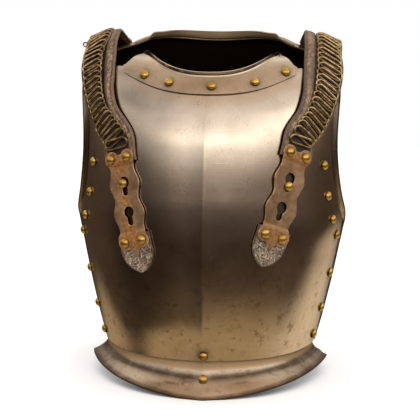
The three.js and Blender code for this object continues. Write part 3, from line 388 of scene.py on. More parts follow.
def turned_edge(shell, side, rise, radius):
    """The sheet beyond a cut edge, turned outwards: one row of points for each rise."""
    edge = shell.point(side, rise)
    within = side * (1 - SLOPE_STEP)
    outward = unit(edge - shell.point(within, rise))
    normal = shell.normal(within, rise)
    angle = np.radians(LIP_SWEEP) * (np.arange(1, LIP_STEPS + 1) / LIP_STEPS)
    radius = np.broadcast_to(radius, np.shape(rise))[:, None, None]
    swing = np.sin(angle)[None, :, None]
    lift = (1 - np.cos(angle))[None, :, None]
    return edge[:, None] + outward[:, None] * radius * swing + normal[:, None] * radius * lift


def breast_lip(side, rise):
    """The breast's turned lip: low at the waist, fuller round the armhole."""
    low = lerp(BREAST_WAIST_LIP, BREAST_SIDE_LIP, smooth(rise, 0, 0.1))
    above = smooth(rise, breast_armpit - 0.03, breast_armpit + 0.04)
    return turned_edge(breast, side, rise, lerp(low, BREAST_LIP, above))


def back_lip(side, rise):
    """The back's edge: tucked inside the breast below the armpit, turned outwards above it."""
    above = smooth(rise, back_armpit, back_armpit * 1.18)[:, None, None]
    low = smooth(rise, back_armpit * 0.22, back_armpit * 0.45)[:, None]
    edge = back.point(side, rise)[:, None]
    reach = lerp(SEAT, BACK_TUCK, low) * (np.arange(1, LIP_STEPS + 1) / LIP_STEPS)
    tucked = edge + np.array([0, -1, 0]) * reach[:, :, None]
    outside = np.array([abs(breast.point(side, breast.rise_at(height))[0]) for height in edge[:, 0, 2]])
    room = (outside - BREAST_WALL - TUCK_GAP)[:, None]
    tucked[..., 0] = side * np.minimum(np.abs(tucked[..., 0]), room)
    return lerp(tucked, turned_edge(back, side, rise, BACK_LIP), above)


def columns_through(counts, marks):
    """Places from -1 to 1 in even steps between marks, the same on both sides."""
    stops = [0, *marks, 1]
    half = [np.array([0.0])]
    for count, low, high in zip(counts, stops, stops[1:]):
        half.append(np.linspace(low, high, count + 1)[1:])
    half = np.concatenate(half)
    return np.concatenate([-half[:0:-1], half])


def shell_grid(shell, sides, rows, armpit, top, seam, beyond):
    """Rows of points from the waist to the neck band's seam and on to the cut edge."""
    below = round(rows * armpit)
    above = np.linspace(armpit, 1, rows - below + 1)[1:]
    shares = np.concatenate([np.linspace(0, armpit, below + 1), above])
    seams, tops = seam(sides), top(sides)
    band = np.arange(1, BAND_ROWS + 1)[:, None] / BAND_ROWS
    rises = np.vstack([shares[:, None] * seams[None], lerp(seams[None], tops[None], band)])
    body = shell.point(np.broadcast_to(sides, rises.shape), rises)
    left = beyond(-1, rises[:, 0])[:, ::-1]
    right = beyond(1, rises[:, -1])
    return np.concatenate([left, body, right], axis=1)


def grid_normals(grid, facing):
    across, along = np.gradient(grid, axis=1), np.gradient(grid, axis=0)
    return unit(np.cross(across, along) * -facing)


def averaged(directions, spread):
    """Directions evened out over their neighbours on both sides."""
    count = len(directions)
    near = np.clip(np.arange(count)[:, None] + np.arange(-spread, spread + 1), 0, count - 1)
    return unit(directions[near].mean(axis=1))


def neck_band(shell, grid, sides, rises, band_side, neck_side, radius, height):
    """A strip on a shell's top rows, with its inner edge turned up into a collar."""
    kept = np.abs(sides) <= band_side + 0.0005
    first = LIP_STEPS + int(np.argmax(kept))
    sides = sides[kept]
    part = slice(first, first + len(sides))
    normals = grid_normals(grid, shell.facing)
    skin = grid[-1 - BAND_ROWS :, part] + normals[-1 - BAND_ROWS :, part] * SEAT
    normal = shell.normal(sides, rises(sides) - SLOPE_STEP)
    ahead, behind = sides + 2 * SLOPE_STEP, sides - 2 * SLOPE_STEP
    edge = shell.point(ahead, rises(ahead)) - shell.point(behind, rises(behind))
    inward = averaged(unit(np.cross(normal, edge) * -shell.facing), 5)
    ends = smooth(np.abs(sides), neck_side * 0.99, neck_side * 1.035)[:, None]
    size = lerp(1, COLLAR_END_SHARE, ends)
    sweep = math.radians(COLLAR_SWEEP)
    rows = [*skin]
    for i in range(1, COLLAR_STEPS + 1):
        angle = sweep * i / COLLAR_STEPS
        reach = size * (radius + BAND_WALL)
        rows.append(skin[-1] + inward * reach * math.sin(angle) + normal * reach * (1 - math.cos(angle)))
    bend = rows[-1]
    for i in range(1, COLLAR_RISE_STEPS + 1):
        run = size * height * i / COLLAR_RISE_STEPS
        rows.append(bend + inward * run * math.cos(sweep) + normal * run * math.sin(sweep))
    skin = np.array(rows)
    return skin + grid_normals(skin, shell.facing) * BAND_WALL, skin


def waist_flange(shell, wall, grid, flare, corner_flare, drop, corner_drop):
    """A strip inside a shell's waist that turns outwards below it and reaches least at its ends."""
    normals = grid_normals(grid, shell.facing)
    part = slice(LIP_STEPS, grid.shape[1] - LIP_STEPS)
    edge = grid[0, part] - normals[0, part] * (wall + SEAT)
    above = grid[1, part] - normals[1, part] * (wall + SEAT)
    along = unit(above - edge)
    level = averaged(unit(normals[0, part] * [1, 1, 0]), 9)
    turn = np.abs(np.linspace(-1, 1, len(edge)))
    swing = np.sin(turn * np.pi / 2) ** CORNER_POWER
    reach = lerp(flare, corner_flare, swing)
    fall = lerp(drop, corner_drop, swing)
    sweep = math.radians(FLANGE_SWEEP)
    rows = []
    for k in range(FLANGE_STEPS, 0, -1):
        share = math.sin(sweep * k / FLANGE_STEPS) / math.sin(sweep)
        out = reach * share**FLANGE_POWER
        down = fall * share
        rows.append(edge + level * out[:, None] - np.array([0, 0, 1]) * down[:, None])
    rows += [edge + along * (FLANGE_TUCK * i / FLANGE_TUCK_STEPS) for i in range(FLANGE_TUCK_STEPS + 1)]
    skin = np.array(rows)
    inner = skin - grid_normals(skin, shell.facing) * BAND_WALL
    for side in (skin, inner):
        side[..., 2] = np.maximum(side[..., 2], 0)
    return skin, inner


def in_frame(points):
    """Points in millimetres from the side line, turned into metres of the frame."""
    return (points + np.array([0, SIDE_LINE, 0])) * METRE


def new_object(name, data):
    """An object of a mesh, curve, light or camera, linked to the scene."""
    obj = bpy.data.objects.new(name, data)
    bpy.context.scene.collection.objects.link(obj)
    return obj


def make_object(name, points, faces, material, smooth_angle=40):
    """A mesh object in metres, with outward faces and smooth shading broken at sharp edges."""
    mesh = bpy.data.meshes.new(name)
    points = in_frame(np.reshape(points, (-1, 3)))
    mesh.from_pydata(points.tolist(), [], faces if isinstance(faces, list) else faces.tolist())
    work = bmesh.new()
    work.from_mesh(mesh)
    bmesh.ops.recalc_face_normals(work, faces=work.faces)
    work.to_mesh(mesh)
    work.free()
    mesh.shade_smooth()
    mesh.set_sharp_from_angle(angle=math.radians(smooth_angle))
    mesh.materials.append(material)
    return new_object(name, mesh)


def wall_faces(rows, columns):
    """Quads of a closed wall between two grids whose points are listed outer grid first."""
    outer = np.arange(rows * columns).reshape(rows, columns)
    inner = outer + rows * columns
    faces = []
    for layer, flip in ((outer, False), (inner, True)):
        a, b = layer[:-1, :-1], layer[:-1, 1:]
        c, d = layer[1:, 1:], layer[1:, :-1]
        faces.append(quads(a, d, c, b) if flip else quads(a, b, c, d))
    for end in (0, -1):
        near, far = outer[end], inner[end]
        faces.append(quads(near[:-1], far[:-1], far[1:], near[1:]))
        near, far = outer[:, end], inner[:, end]
        faces.append(quads(near[:-1], near[1:], far[1:], far[:-1]))
    return np.concatenate(faces)


def round_edges(obj, width):
    bevel = obj.modifiers.new("edges", "BEVEL")
    bevel.width = width * METRE
    bevel.segments = 2
    bevel.limit_method = "ANGLE"
    bevel.angle_limit = math.radians(50)
    bevel.harden_normals = False


def wall_object(name, outer, inner, material, rim=0.0):
    """A closed wall between two grids, with its edges rounded by a rim."""
    points = np.concatenate([outer.reshape(-1, 3), inner.reshape(-1, 3)])
    obj = make_object(name, points, wall_faces(*outer.shape[:2]), material)
    if rim:
        round_edges(obj, rim)
    return obj


def set_field(obj, name, values):
    """A number at every point of a mesh, for its material to read."""
    field = obj.data.attributes.new(name, "FLOAT", "POINT")
    field.data.foreach_set("value", np.asarray(values, np.float32).ravel())


def set_wall_field(obj, name, outer, inner=None):
    """A field over the two grids of a wall. The inner grid repeats the outer one where it isn't given."""
    inner = outer if inner is None else inner
    set_field(obj, name, np.concatenate([np.ravel(outer), np.ravel(inner)]))


def edge_distance(grid):
    """How far each point of a grid lies from the nearer of its two side edges, along its row."""
    run = running_length(grid, axis=1)
    return np.minimum(run, run[:, -1:] - run)


breast_sides = columns_through(BREAST_COLUMNS, (breast_neck_side, breast_band_side))
breast_armpit_share = breast_armpit / float(breast_seam(1))
breast_grid = shell_grid(
    breast, breast_sides, BREAST_ROWS, breast_armpit_share, breast_top, breast_seam, breast_lip
)
# How far the body's side line lies behind the frame's origin
SIDE_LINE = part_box("breast_shell")[0][1] / METRE - breast_grid[..., 1].min()

back_sides = columns_through(BACK_COLUMNS, (back_neck_side, back_band_side))
back_armpit_share = back_armpit / float(back_seam(1))
back_grid = shell_grid(back, back_sides, BACK_ROWS, back_armpit_share, back_top, back_seam, back_lip)

# Collars: radius of the turn and height above it. Flanges: reach in front and at the corners, then
# fall in front and at the corners
BREAST_COLLAR = (4, 2.5)
BACK_COLLAR = (6, 4)
BREAST_FLANGE = (34, 20, 41, 20)
BACK_FLANGE = (26, 18, 41, 22)
SHEET_RIM = 0.5
BAND_RIM = 0.6
NO_EDGE = 99.0
BACK_COLLAR_FILM = 0.6

# Dirt round the rivets: where it starts and how far it reaches
GRIME_START = 6
GRIME_REACH = 7.0
BAND_GRIME_REACH = 5.0
GRIME_FADE = 2.2

# Rivets and studs
RIVET_RADIUS = 5.75
RIVET_HEIGHT = 4.8
STUD_RADIUS = 5.8
STUD_HEIGHT = 5
STUD_NECK = 3.2
DOME_FOOT = 0.25
DOME_SIDES = 36
DOME_RINGS = 9
DOME_LEAN = 0.02
FLANGE_RIVET_HEIGHT = 18
WAIST_RIVET_RISE = 7

# Side rivets: share of the way from the ridge to the cut edge, height as a share of the armpit's
SIDE_RIVETS = [
    (0.879, 0.273),
    (0.902, 0.444),
    (0.905, 0.674),
    (0.874, 0.925),
    (0.82, 1.04),
    (0.857, 1.194),
    (0.876, 1.389),
]
# Neck rivets: shares of the neck's half width, and how far up from the neck band's seam
NECK_RIVETS = [-0.921, -0.54, 0.05, 0.652, 1.086]
NECK_RIVET_RISE = 11

# Keyhole plates, measured up the plate from the middle of its upper round hole
PLATE_WALL = 1.8
PLATE_HALF = 19.3
PLATE_WAVE = 2.2
PLATE_WAVE_TOP = -2
KEYHOLE_PITCH = 36
KEYHOLE_RADIUS = 7
SLOT_RADIUS = 3.8
SLOT_LENGTH = 12.4
PLATE_RIVET_SPACING = 23.4
LOBE_RADIUS = 9.2
TOP_RIVET = 29.3
BOTTOM_RIVET = -71
LOBE_POINTS = 21
HOLE_POINTS = 36
SLOT_POINTS = 16
PLATE_BEVEL = 0.4
PLATE_NOTCH = 33
PLATE_POINT = -89.5
POINT_HALF = 2.6
POINT_LENGTH = 7
TOP_JOGGLE = 19.5
BOTTOM_JOGGLE = -58.5
JOGGLE_LENGTH = 4
STAND_OFF = 1.9
STUD_SIDE = 96.4
STUD_RISE = 255
STUD_HEAD_GAP = 0.7
PATH_STEP = 3

# Straps by side: sign, plate's lean in degrees, how far it has slid down its stud, twist in degrees
STRAPS = {
    "left": (1, 20.5, 9.4, 0.0),
    "right": (-1, 15.5, 0.9, 4.0),
}
STRAP_WALL = 3
STRAP_LIFT = 1.6
STRAP_HALF = 25
STRAP_END_HALF = 22.5
STRAP_ANCHOR_HALF = 19
RIGHT_STRAP_WEAR = 2.5
STRAP_SPLIT = 60.0
STRAP_STEP = 2.0
STRAP_STEPS = 40
STRAP_COLUMNS = 44
UNDER_PLATE = 60.0
ROLL_HALF = 7.2
ROLL_RISE = 2.2
TONGUE_TIP = -110
TONGUE_HALF = 21.5
TONGUE_ARCH = lerp(PLATE_POINT, BOTTOM_RIVET, 0.4)
TONGUE_ROWS = 64
TONGUE_COLUMNS = 40
LEATHER_RIM = 0.7
JOINT_ROOM = 1.6
JOINT_LEAD = 10
JOINT_BEND = (-7.0, 3.0)
CREST_BEND = 30.0
CREST_DEPTH = 2
CREST_TILT = 20
LIP_CLEARANCE = 6

# The strap's route, as shares of the body's sizes: over the breast, free over the shoulder, on the back
STRAP_FRONT = [
    (0.732, 0.82, 0),
    (0.782, 0.878, 0.1),
    (0.8, 0.931, 0.35),
    (0.805, 0.962, 0.45),
]
STRAP_FREE = [
    (0.817, -0.164, 1.035, 0, 0),
    (0.817, 0.015, 0.5, 0.529, 0),
    (0.803, 0.2, 0, 0.992, 0.1),
    (0.78, 0.373, 0, 0.97, 0.5),
]
STRAP_BACK = [(0.745, 0.82, 0.45), (0.7, 0.755, 0.35), (0.655, 0.69, 0.2)]

# Chains: links in millimetres and degrees, and how much each of them wanders
LINK_HALF = 16.5
LINK_END = 5.4
WIRE = 1.3
WIRE_SIDES = 8
LINK_PITCH = 7.6
LINK_TILT = 14
LINK_SLANT = 25
LINK_BOW = 0.5
LINK_END_POINTS = 11
LINK_SIDE_POINTS = 9
CHAIN_FRONT_GAP = 0
CHAIN_REAR_GAP = 0.5
CHAIN_PLATE_OFFSET = 1.5
CHAIN_SHOULDER_OFFSET = 6.5
SLANT_WANDER = 1.6
TILT_WANDER = 1.5
ASIDE_WANDER = 0.35
PITCH_WANDER = 0.3
WIDTH_WANDER = 0.04
LOOSE_RING = 2.6
LOOSE_RING_BEFORE_CREST = 22

# Anchor plates
ANCHOR_LENGTH = 24
ANCHOR_HALF = 17
ANCHOR_WALL = 1.5
ANCHOR_GAP = 0.9
ANCHOR_RIVET_SPACING = 18
ANCHOR_ROWS = 14
ANCHOR_COLUMNS = 16
ANCHOR_RIM = 0.4
ANCHOR_RUST = 0.3

# Rivets of a keyhole plate, across and along it, from the top left
PLATE_RIVETS = [
    (sign * PLATE_RIVET_SPACING / 2, rise) for rise in (TOP_RIVET, BOTTOM_RIVET) for sign in (-1, 1)
]
JOINT = TOP_RIVET + LOBE_RADIUS + JOINT_ROOM
PLATE_END_HEIGHT = STRAP_LIFT + STRAP_WALL + SEAT
FORWARD = np.array([0.0, -1.0, 0.0])
UP = np.array([0.0, 0.0, 1.0])


class Path:
    """A line with a frame at every length: point, along, out of the surface, and across."""

    def __init__(self, lengths, points, along, out):
        self.lengths = np.asarray(lengths, float)
        self.tables = [np.asarray(table, float) for table in (points, along, out)]

    def at(self, length):
        length = np.asarray(length, float)
        picked = []
        for table in self.tables:
            picked.append(np.stack([np.interp(length, self.lengths, table[:, k]) for k in range(3)], -1))
        point, along, out = picked
        along = unit(along)
        out = unit(out - along * np.sum(out * along, -1, keepdims=True))
        return point, along, out, np.cross(along, out)


def plate_path(side, lean, travel, twist):
    """The line of a keyhole plate, walked both ways over the breast from its stud."""
    start, normal = breast.at(side * STUD_SIDE, STUD_RISE)
    upward = unit(UP - normal * normal[2])
    sideways = np.cross(upward, normal)
    heading = upward * math.cos(lean) + sideways * side * math.sin(lean)

    def walk(sign):
        frames = []
        point, out, along = start, normal, heading
        for _ in range(math.ceil(KEYHOLE_PITCH * 4 / PATH_STEP) + 1):
            along = unit(along - out * (along @ out))
            frames.append((point, along, out))
            ahead = point + along * sign * PATH_STEP
            point, out = breast.at(ahead[0], ahead[2])
        return frames

    frames = walk(-1)[::-1] + walk(1)[1:]
    origin = (len(frames) - 1) / 2
    lengths = (np.arange(len(frames)) - origin) * PATH_STEP - travel
    points, along, out = (np.array(column) for column in zip(*frames))
    turned = out * math.cos(twist) + np.cross(along, out) * math.sin(twist)
    return Path(lengths, points, along, turned)


def through(knots, count):
    """Points at even steps of a centripetal Catmull-Rom curve through knots."""
    knots = np.asarray(knots, float)
    ends = [2 * knots[0] - knots[1], *knots, 2 * knots[-1] - knots[-2]]
    points = []
    for i in range(count + 1):
        place = (len(knots) - 1) * i / count
        first = min(int(place), len(knots) - 2)
        t = place - first
        p0, p1, p2, p3 = ends[first : first + 4]
        d0, d1, d2 = (max(np.sum((b - a) ** 2), 1e-16) ** 0.25 for a, b in ((p0, p1), (p1, p2), (p2, p3)))
        m1 = ((p1 - p0) / d0 - (p2 - p0) / (d0 + d1) + (p2 - p1) / d1) * d1
        m2 = ((p2 - p1) / d1 - (p3 - p1) / (d1 + d2) + (p3 - p2) / d2) * d1
        point = p1 + m1 * t + (-3 * p1 + 3 * p2 - 2 * m1 - m2) * t**2 + (2 * p1 - 2 * p2 + m1 + m2) * t**3
        points.append(point)
    return np.array(points)


def strap_path(side, plate):
    """The strap's middle line. Lengths run from the flexing joint, negative under the plate."""
    centre = STRAP_LIFT + STRAP_WALL / 2
    joint = JOINT + SEAT
    points, outs = [], []
    for length in (joint, joint + JOINT_LEAD):
        point, along, out, across = plate.at(length)
        points.append(point + out * centre)
        outs.append(out)
    for out_share, height, turn in STRAP_FRONT:
        point, normal = breast.at(side * out_share * CHEST_HALF, height * BREAST_TOP)
        outs.append(unit(lerp(normal, FORWARD, turn)))
        points.append(point + normal * (centre + turn * LIP_CLEARANCE))
    tilt = math.radians(CREST_TILT)
    tilted = np.array([side * math.sin(tilt), 0, math.cos(tilt)])
    for out_share, behind, breast_share, back_share, turn in STRAP_FREE:
        height = breast_share * BREAST_TOP + back_share * BACK_TOP
        points.append(np.array([side * out_share * CHEST_HALF, behind * BACK_DEPTH, height]))
        outs.append(unit(tilted - FORWARD * turn))
    for out_share, rise, turn in STRAP_BACK:
        place = back.side_at(side * out_share * CHEST_HALF, rise)
        normal = back.normal(place, rise)
        outs.append(unit(normal - FORWARD * turn))
        points.append(back.point(place, rise) + normal * (centre + turn * LIP_CLEARANCE))
    count = STRAP_STEPS * (len(points) - 1)
    line, facing = through(points, count), through(outs, count)
    runs = running_length(line)
    index = np.arange(count + 1)
    along = unit(line[np.minimum(index + 2, count)] - line[np.maximum(index - 2, 0)])
    crest = float(np.interp(CREST_DEPTH, line[:, 1], runs))
    under = np.arange(-UNDER_PLATE, 0, PATH_STEP / 2)
    point, heading, out, across = plate.at(joint + under)
    path = Path(
        np.concatenate([under, runs]),
        np.concatenate([point + out * centre, line]),
        np.concatenate([heading, along]),
        np.concatenate([out, facing]),
    )
    return path, float(runs[-1]), crest


def strip(path, lengths, half_width, low, top, columns):
    """Two grids of a strip along a path, its raised top and its underside, and its columns as shares."""
    point, along, out, across = path.at(lengths)
    shares = np.sin(np.linspace(-1, 1, columns + 1) * np.pi / 2)
    shares = lerp(shares, np.linspace(-1, 1, columns + 1), 0.35)
    half = np.broadcast_to(half_width(lengths), lengths.shape)
    reach = half[:, None] * shares[None]
    raised = np.broadcast_to(top(lengths[:, None], shares[None], half[:, None]), reach.shape)
    outer = point[:, None] + across[:, None] * reach[..., None] + out[:, None] * raised[..., None]
    inner = point[:, None] + across[:, None] * reach[..., None] + out[:, None] * low
    return outer, inner, shares


def lathe(name, profile, place, axis, material, sides, twist):
    """A profile of (radius, height) turned about an axis that stands on a place."""
    radii = np.array([r for r, h in profile])
    heights = np.array([h for r, h in profile])
    turn = np.linspace(0, 2 * np.pi, sides, endpoint=False) + twist
    ring = np.stack([np.cos(turn), np.sin(turn), np.zeros(sides)], -1)
    points = ring[None] * radii[:, None, None] + np.array([0, 0, 1]) * heights[:, None, None]
    basis = np.array(Vector(axis).to_track_quat("Z", "Y").to_matrix())
    points = points.reshape(-1, 3) @ basis.T + place
    index = np.arange(len(radii) * sides).reshape(len(radii), sides)
    ahead = np.roll(index, -1, axis=1)
    faces = quads(index[:-1], ahead[:-1], ahead[1:], index[1:]).tolist()
    faces += [index[0, ::-1].tolist(), index[-1].tolist()]
    return make_object(name, points, faces, material, 50)


def dome_profile(radius, height, base=0.0):
    """A low dome on a short upright foot, from its rim to its crown."""
    foot = base + DOME_FOOT
    rows = [(radius * 0.985, base), (radius, foot)]
    for i in range(1, DOME_RINGS):
        angle = math.pi / 2 * i / DOME_RINGS
        rows.append((radius * math.cos(angle), foot + (height - DOME_FOOT) * math.sin(angle)))
    return rows + [(radius * 0.02, base + height)]


def arc(x, y, radius, start, end, count):
    """Points of an arc in a plane about (x, y), between two angles in degrees."""
    angle = np.radians(np.linspace(start, end, count))
    return np.stack([x + radius * np.cos(angle), y + radius * np.sin(angle)], -1)


def lobe(rise, start, end):
    """The right half of a plate's end, rounded about its rivet."""
    return arc(PLATE_RIVET_SPACING / 2, rise, LOBE_RADIUS, start, end, LOBE_POINTS)


def plate_outline():
    """The whole outline of a keyhole plate, and its two keyholes."""
    wave = np.linspace(TOP_JOGGLE, BOTTOM_JOGGLE, 60)
    turn = 2 * np.pi * (wave - PLATE_WAVE_TOP) / KEYHOLE_PITCH
    sides = np.stack([PLATE_HALF + PLATE_WAVE * np.cos(turn), wave], -1)
    shoulder = PLATE_POINT + POINT_LENGTH
    tip = [[POINT_HALF * 1.5, shoulder], [POINT_HALF, lerp(shoulder, PLATE_POINT, 0.55)]]
    right = np.concatenate([lobe(TOP_RIVET, 150, -35), sides, lobe(BOTTOM_RIVET, 35, -115), tip])
    left = right[::-1] * [-1, 1]
    outline = np.concatenate([[[0, PLATE_NOTCH]], right, [[0, PLATE_POINT]], left])
    holes = []
    gap = math.degrees(math.asin(SLOT_RADIUS / KEYHOLE_RADIUS))
    for rise in (0, -KEYHOLE_PITCH):
        ring = arc(0, rise, KEYHOLE_RADIUS, gap - 90, 270 - gap, HOLE_POINTS)
        slot = arc(0, rise - SLOT_LENGTH, SLOT_RADIUS, 180, 360, SLOT_POINTS)
        holes.append(np.concatenate([ring, slot]))
    return outline, holes


def outline_distance(places, loops):
    """How far places in a plane lie from the nearest side of closed loops."""
    nearest = np.full(len(places), 1e9)
    for loop in loops:
        for a, b in zip(loop, np.roll(loop, -1, axis=0)):
            side = b - a
            share = np.clip((places - a) @ side / max(side @ side, 1e-12), 0, 1)
            nearest = np.minimum(nearest, np.linalg.norm(places - a - share[:, None] * side, axis=1))
    return nearest


def flat_plate():
    """A keyhole plate on the bench as points and faces: x across, y up its length, z thickness."""
    outline, holes = plate_outline()
    curve = bpy.data.curves.new("plate_blank", "CURVE")
    curve.dimensions = "2D"
    curve.fill_mode = "BOTH"
    curve.extrude = PLATE_WALL / 2 - PLATE_BEVEL
    curve.bevel_depth = PLATE_BEVEL
    curve.bevel_resolution = 2
    curve.offset = -PLATE_BEVEL
    for loop in (outline, *holes):
        spline = curve.splines.new("POLY")
        spline.points.add(len(loop) - 1)
        spline.points.foreach_set("co", np.c_[loop, np.zeros(len(loop)), np.ones(len(loop))].ravel())
        spline.use_cyclic_u = True
    blank = new_object("plate_blank", curve)
    bpy.context.view_layer.update()
    mesh = bpy.data.meshes.new_from_object(blank.evaluated_get(bpy.context.evaluated_depsgraph_get()))
    work = bmesh.new()
    work.from_mesh(mesh)
    bmesh.ops.remove_doubles(work, verts=work.verts, dist=0.01)
    cuts = [((0, y, 0), (0, 1, 0)) for y in np.arange(PLATE_POINT + 1, TOP_RIVET + LOBE_RADIUS, 1.5)]
    cuts += [((x, 0, 0), (1, 0, 0)) for x in np.arange(-20.0, 20.1, 2.5)]
    for place, normal in cuts:
        every = [*work.verts, *work.edges, *work.faces]
        bmesh.ops.bisect_plane(work, geom=every, plane_co=place, plane_no=normal, dist=0.001)
    points = np.array([vert.co[:] for vert in work.verts])
    work.verts.index_update()
    faces = [[vert.index for vert in face.verts] for face in work.faces]
    work.free()
    bpy.data.objects.remove(blank)
    edge = outline_distance(points[:, :2], [outline, *holes])
    points[:, 2] += PLATE_WALL / 2
    return points, faces, edge


def joggle(along):
    """Height of the plate's underside above the steel."""
    low = smooth(along, TOP_JOGGLE, TOP_JOGGLE + JOGGLE_LENGTH)
    low = low + 1 - smooth(along, BOTTOM_JOGGLE - JOGGLE_LENGTH, BOTTOM_JOGGLE)
    return lerp(STAND_OFF, PLATE_END_HEIGHT, low)


def link_loop():
    """The middle line of one chain link, flat: x along its length, y across."""
    straight = LINK_HALF - LINK_END
    end = arc(straight, 0, LINK_END, -90, 90, LINK_END_POINTS)
    top = np.linspace(straight, -straight, LINK_SIDE_POINTS + 2)[1:-1]
    run = np.stack([top, np.full(len(top), LINK_END)], -1)
    return np.concatenate([end, run, -end, -run])


def tube_rings(centres, radius, sides):
    """Rings of points round a closed line of centres, and the quads between them."""
    ahead = np.roll(centres, -1, axis=0) - np.roll(centres, 1, axis=0)
    heading = unit(ahead)
    spare = unit(centres - centres.mean(axis=0))
    first = unit(np.cross(heading, np.cross(spare, heading)))
    second = np.cross(heading, first)
    angle = np.linspace(0, 2 * np.pi, sides, endpoint=False)
    ring = first[:, None] * np.cos(angle)[None, :, None] + second[:, None] * np.sin(angle)[None, :, None]
    points = centres[:, None] + ring * radius
    count = len(centres)
    index = np.arange(count * sides).reshape(count, sides)
    below, beside = np.roll(index, -1, axis=0), np.roll(index, -1, axis=1)
    return points.reshape(-1, 3), quads(index, below, np.roll(below, -1, axis=1), beside)


class Strap:
    """One shoulder strap: the line of its keyhole plate, its own line, and its widths and heights."""

    def __init__(self, name, side, lean, travel, twist):
        self.name = name
        self.side = side
        self.plate = plate_path(side, math.radians(lean), travel, math.radians(twist))
        self.path, self.length, self.crest = strap_path(side, self.plate)

    def half(self, length):
        front = smooth(length, 0, self.crest * 0.5)
        rear = smooth(length, self.crest * 1.2, self.length)
        worn = 0 if self.side > 0 else RIGHT_STRAP_WEAR * front * (1 - rear)
        return lerp(lerp(STRAP_END_HALF, STRAP_HALF, front), STRAP_ANCHOR_HALF, rear) - worn

    def top(self, length, share, half):
        """Height of the leather: a bead and a groove along its edges, or its rolled inner edge."""
        inset = (1 - np.abs(share)) * half
        bead = np.sin(np.pi * np.clip(inset / 4.8, 0, 1)) ** 0.7
        groove = np.exp(-(((inset - 5.4) / 0.7) ** 2))
        swell = 0.5 * (1 - share**2) * smooth(inset, 5.4, 9)
        anchor = self.length - ANCHOR_LENGTH
        free = smooth(length, 2, 16) * (1 - smooth(length, anchor - 8, anchor))
        relief = lerp(0.35, 1.0, free) * (0.9 * bead - 0.5 * groove + swell) - 0.35
        within = share * self.side < 0
        rolled = np.sqrt(np.clip(1 - ((inset - ROLL_HALF) / ROLL_HALF) ** 2, 0, 1)) * within
        rolled = rolled - 0.35 * np.exp(-(((inset - 3.6) / 0.6) ** 2))
        return STRAP_WALL / 2 - 0.1 + lerp(relief, ROLL_RISE * rolled - 0.3, free * within)

    def chain_offset(self, length):
        """How far the chain's middle lies outwards of the strap's."""
        shoulder = lerp(CHAIN_PLATE_OFFSET, CHAIN_SHOULDER_OFFSET, smooth(length, 0, self.crest * 0.7))
        if self.side < 0:
            shoulder = shoulder * (1 - 0.8 * smooth(length, self.crest * 0.7, self.crest))
        return lerp(shoulder, 0, smooth(length, self.crest, self.length))

    def covered(self, length, share, half):
        """How far the chain lies over the leather here, from 0 to 1."""
        reach = share * half * self.side - self.chain_offset(length)
        return smooth(LINK_HALF + 2 - np.abs(reach), 0, 3)

    def ridges(self, length, share, half):
        """Height of the tongue's cracked ridges, from -1 to 1."""
        across = share * half
        bend = 1.3 * np.sin(across * 0.5 + length * 0.21) + 0.8 * np.sin(across * 0.23 - length * 0.4)
        return np.sin(length * 1.9 + across * self.side * 0.25 + bend) * (1 - np.abs(share) ** 4)

    def tongue_top(self, length, share, half):
        worn = smooth(TONGUE_ARCH + 6 - length, 0, 10)
        return STRAP_LIFT + STRAP_WALL - 0.3 + 0.28 * self.ridges(length, share, half) * worn


def tongue_half(length):
    share = np.clip((TONGUE_ARCH - length) / (TONGUE_ARCH - TONGUE_TIP), 0, 1)
    return TONGUE_HALF * np.maximum(0.03, np.maximum(1 - share**2, 0) ** 0.7)


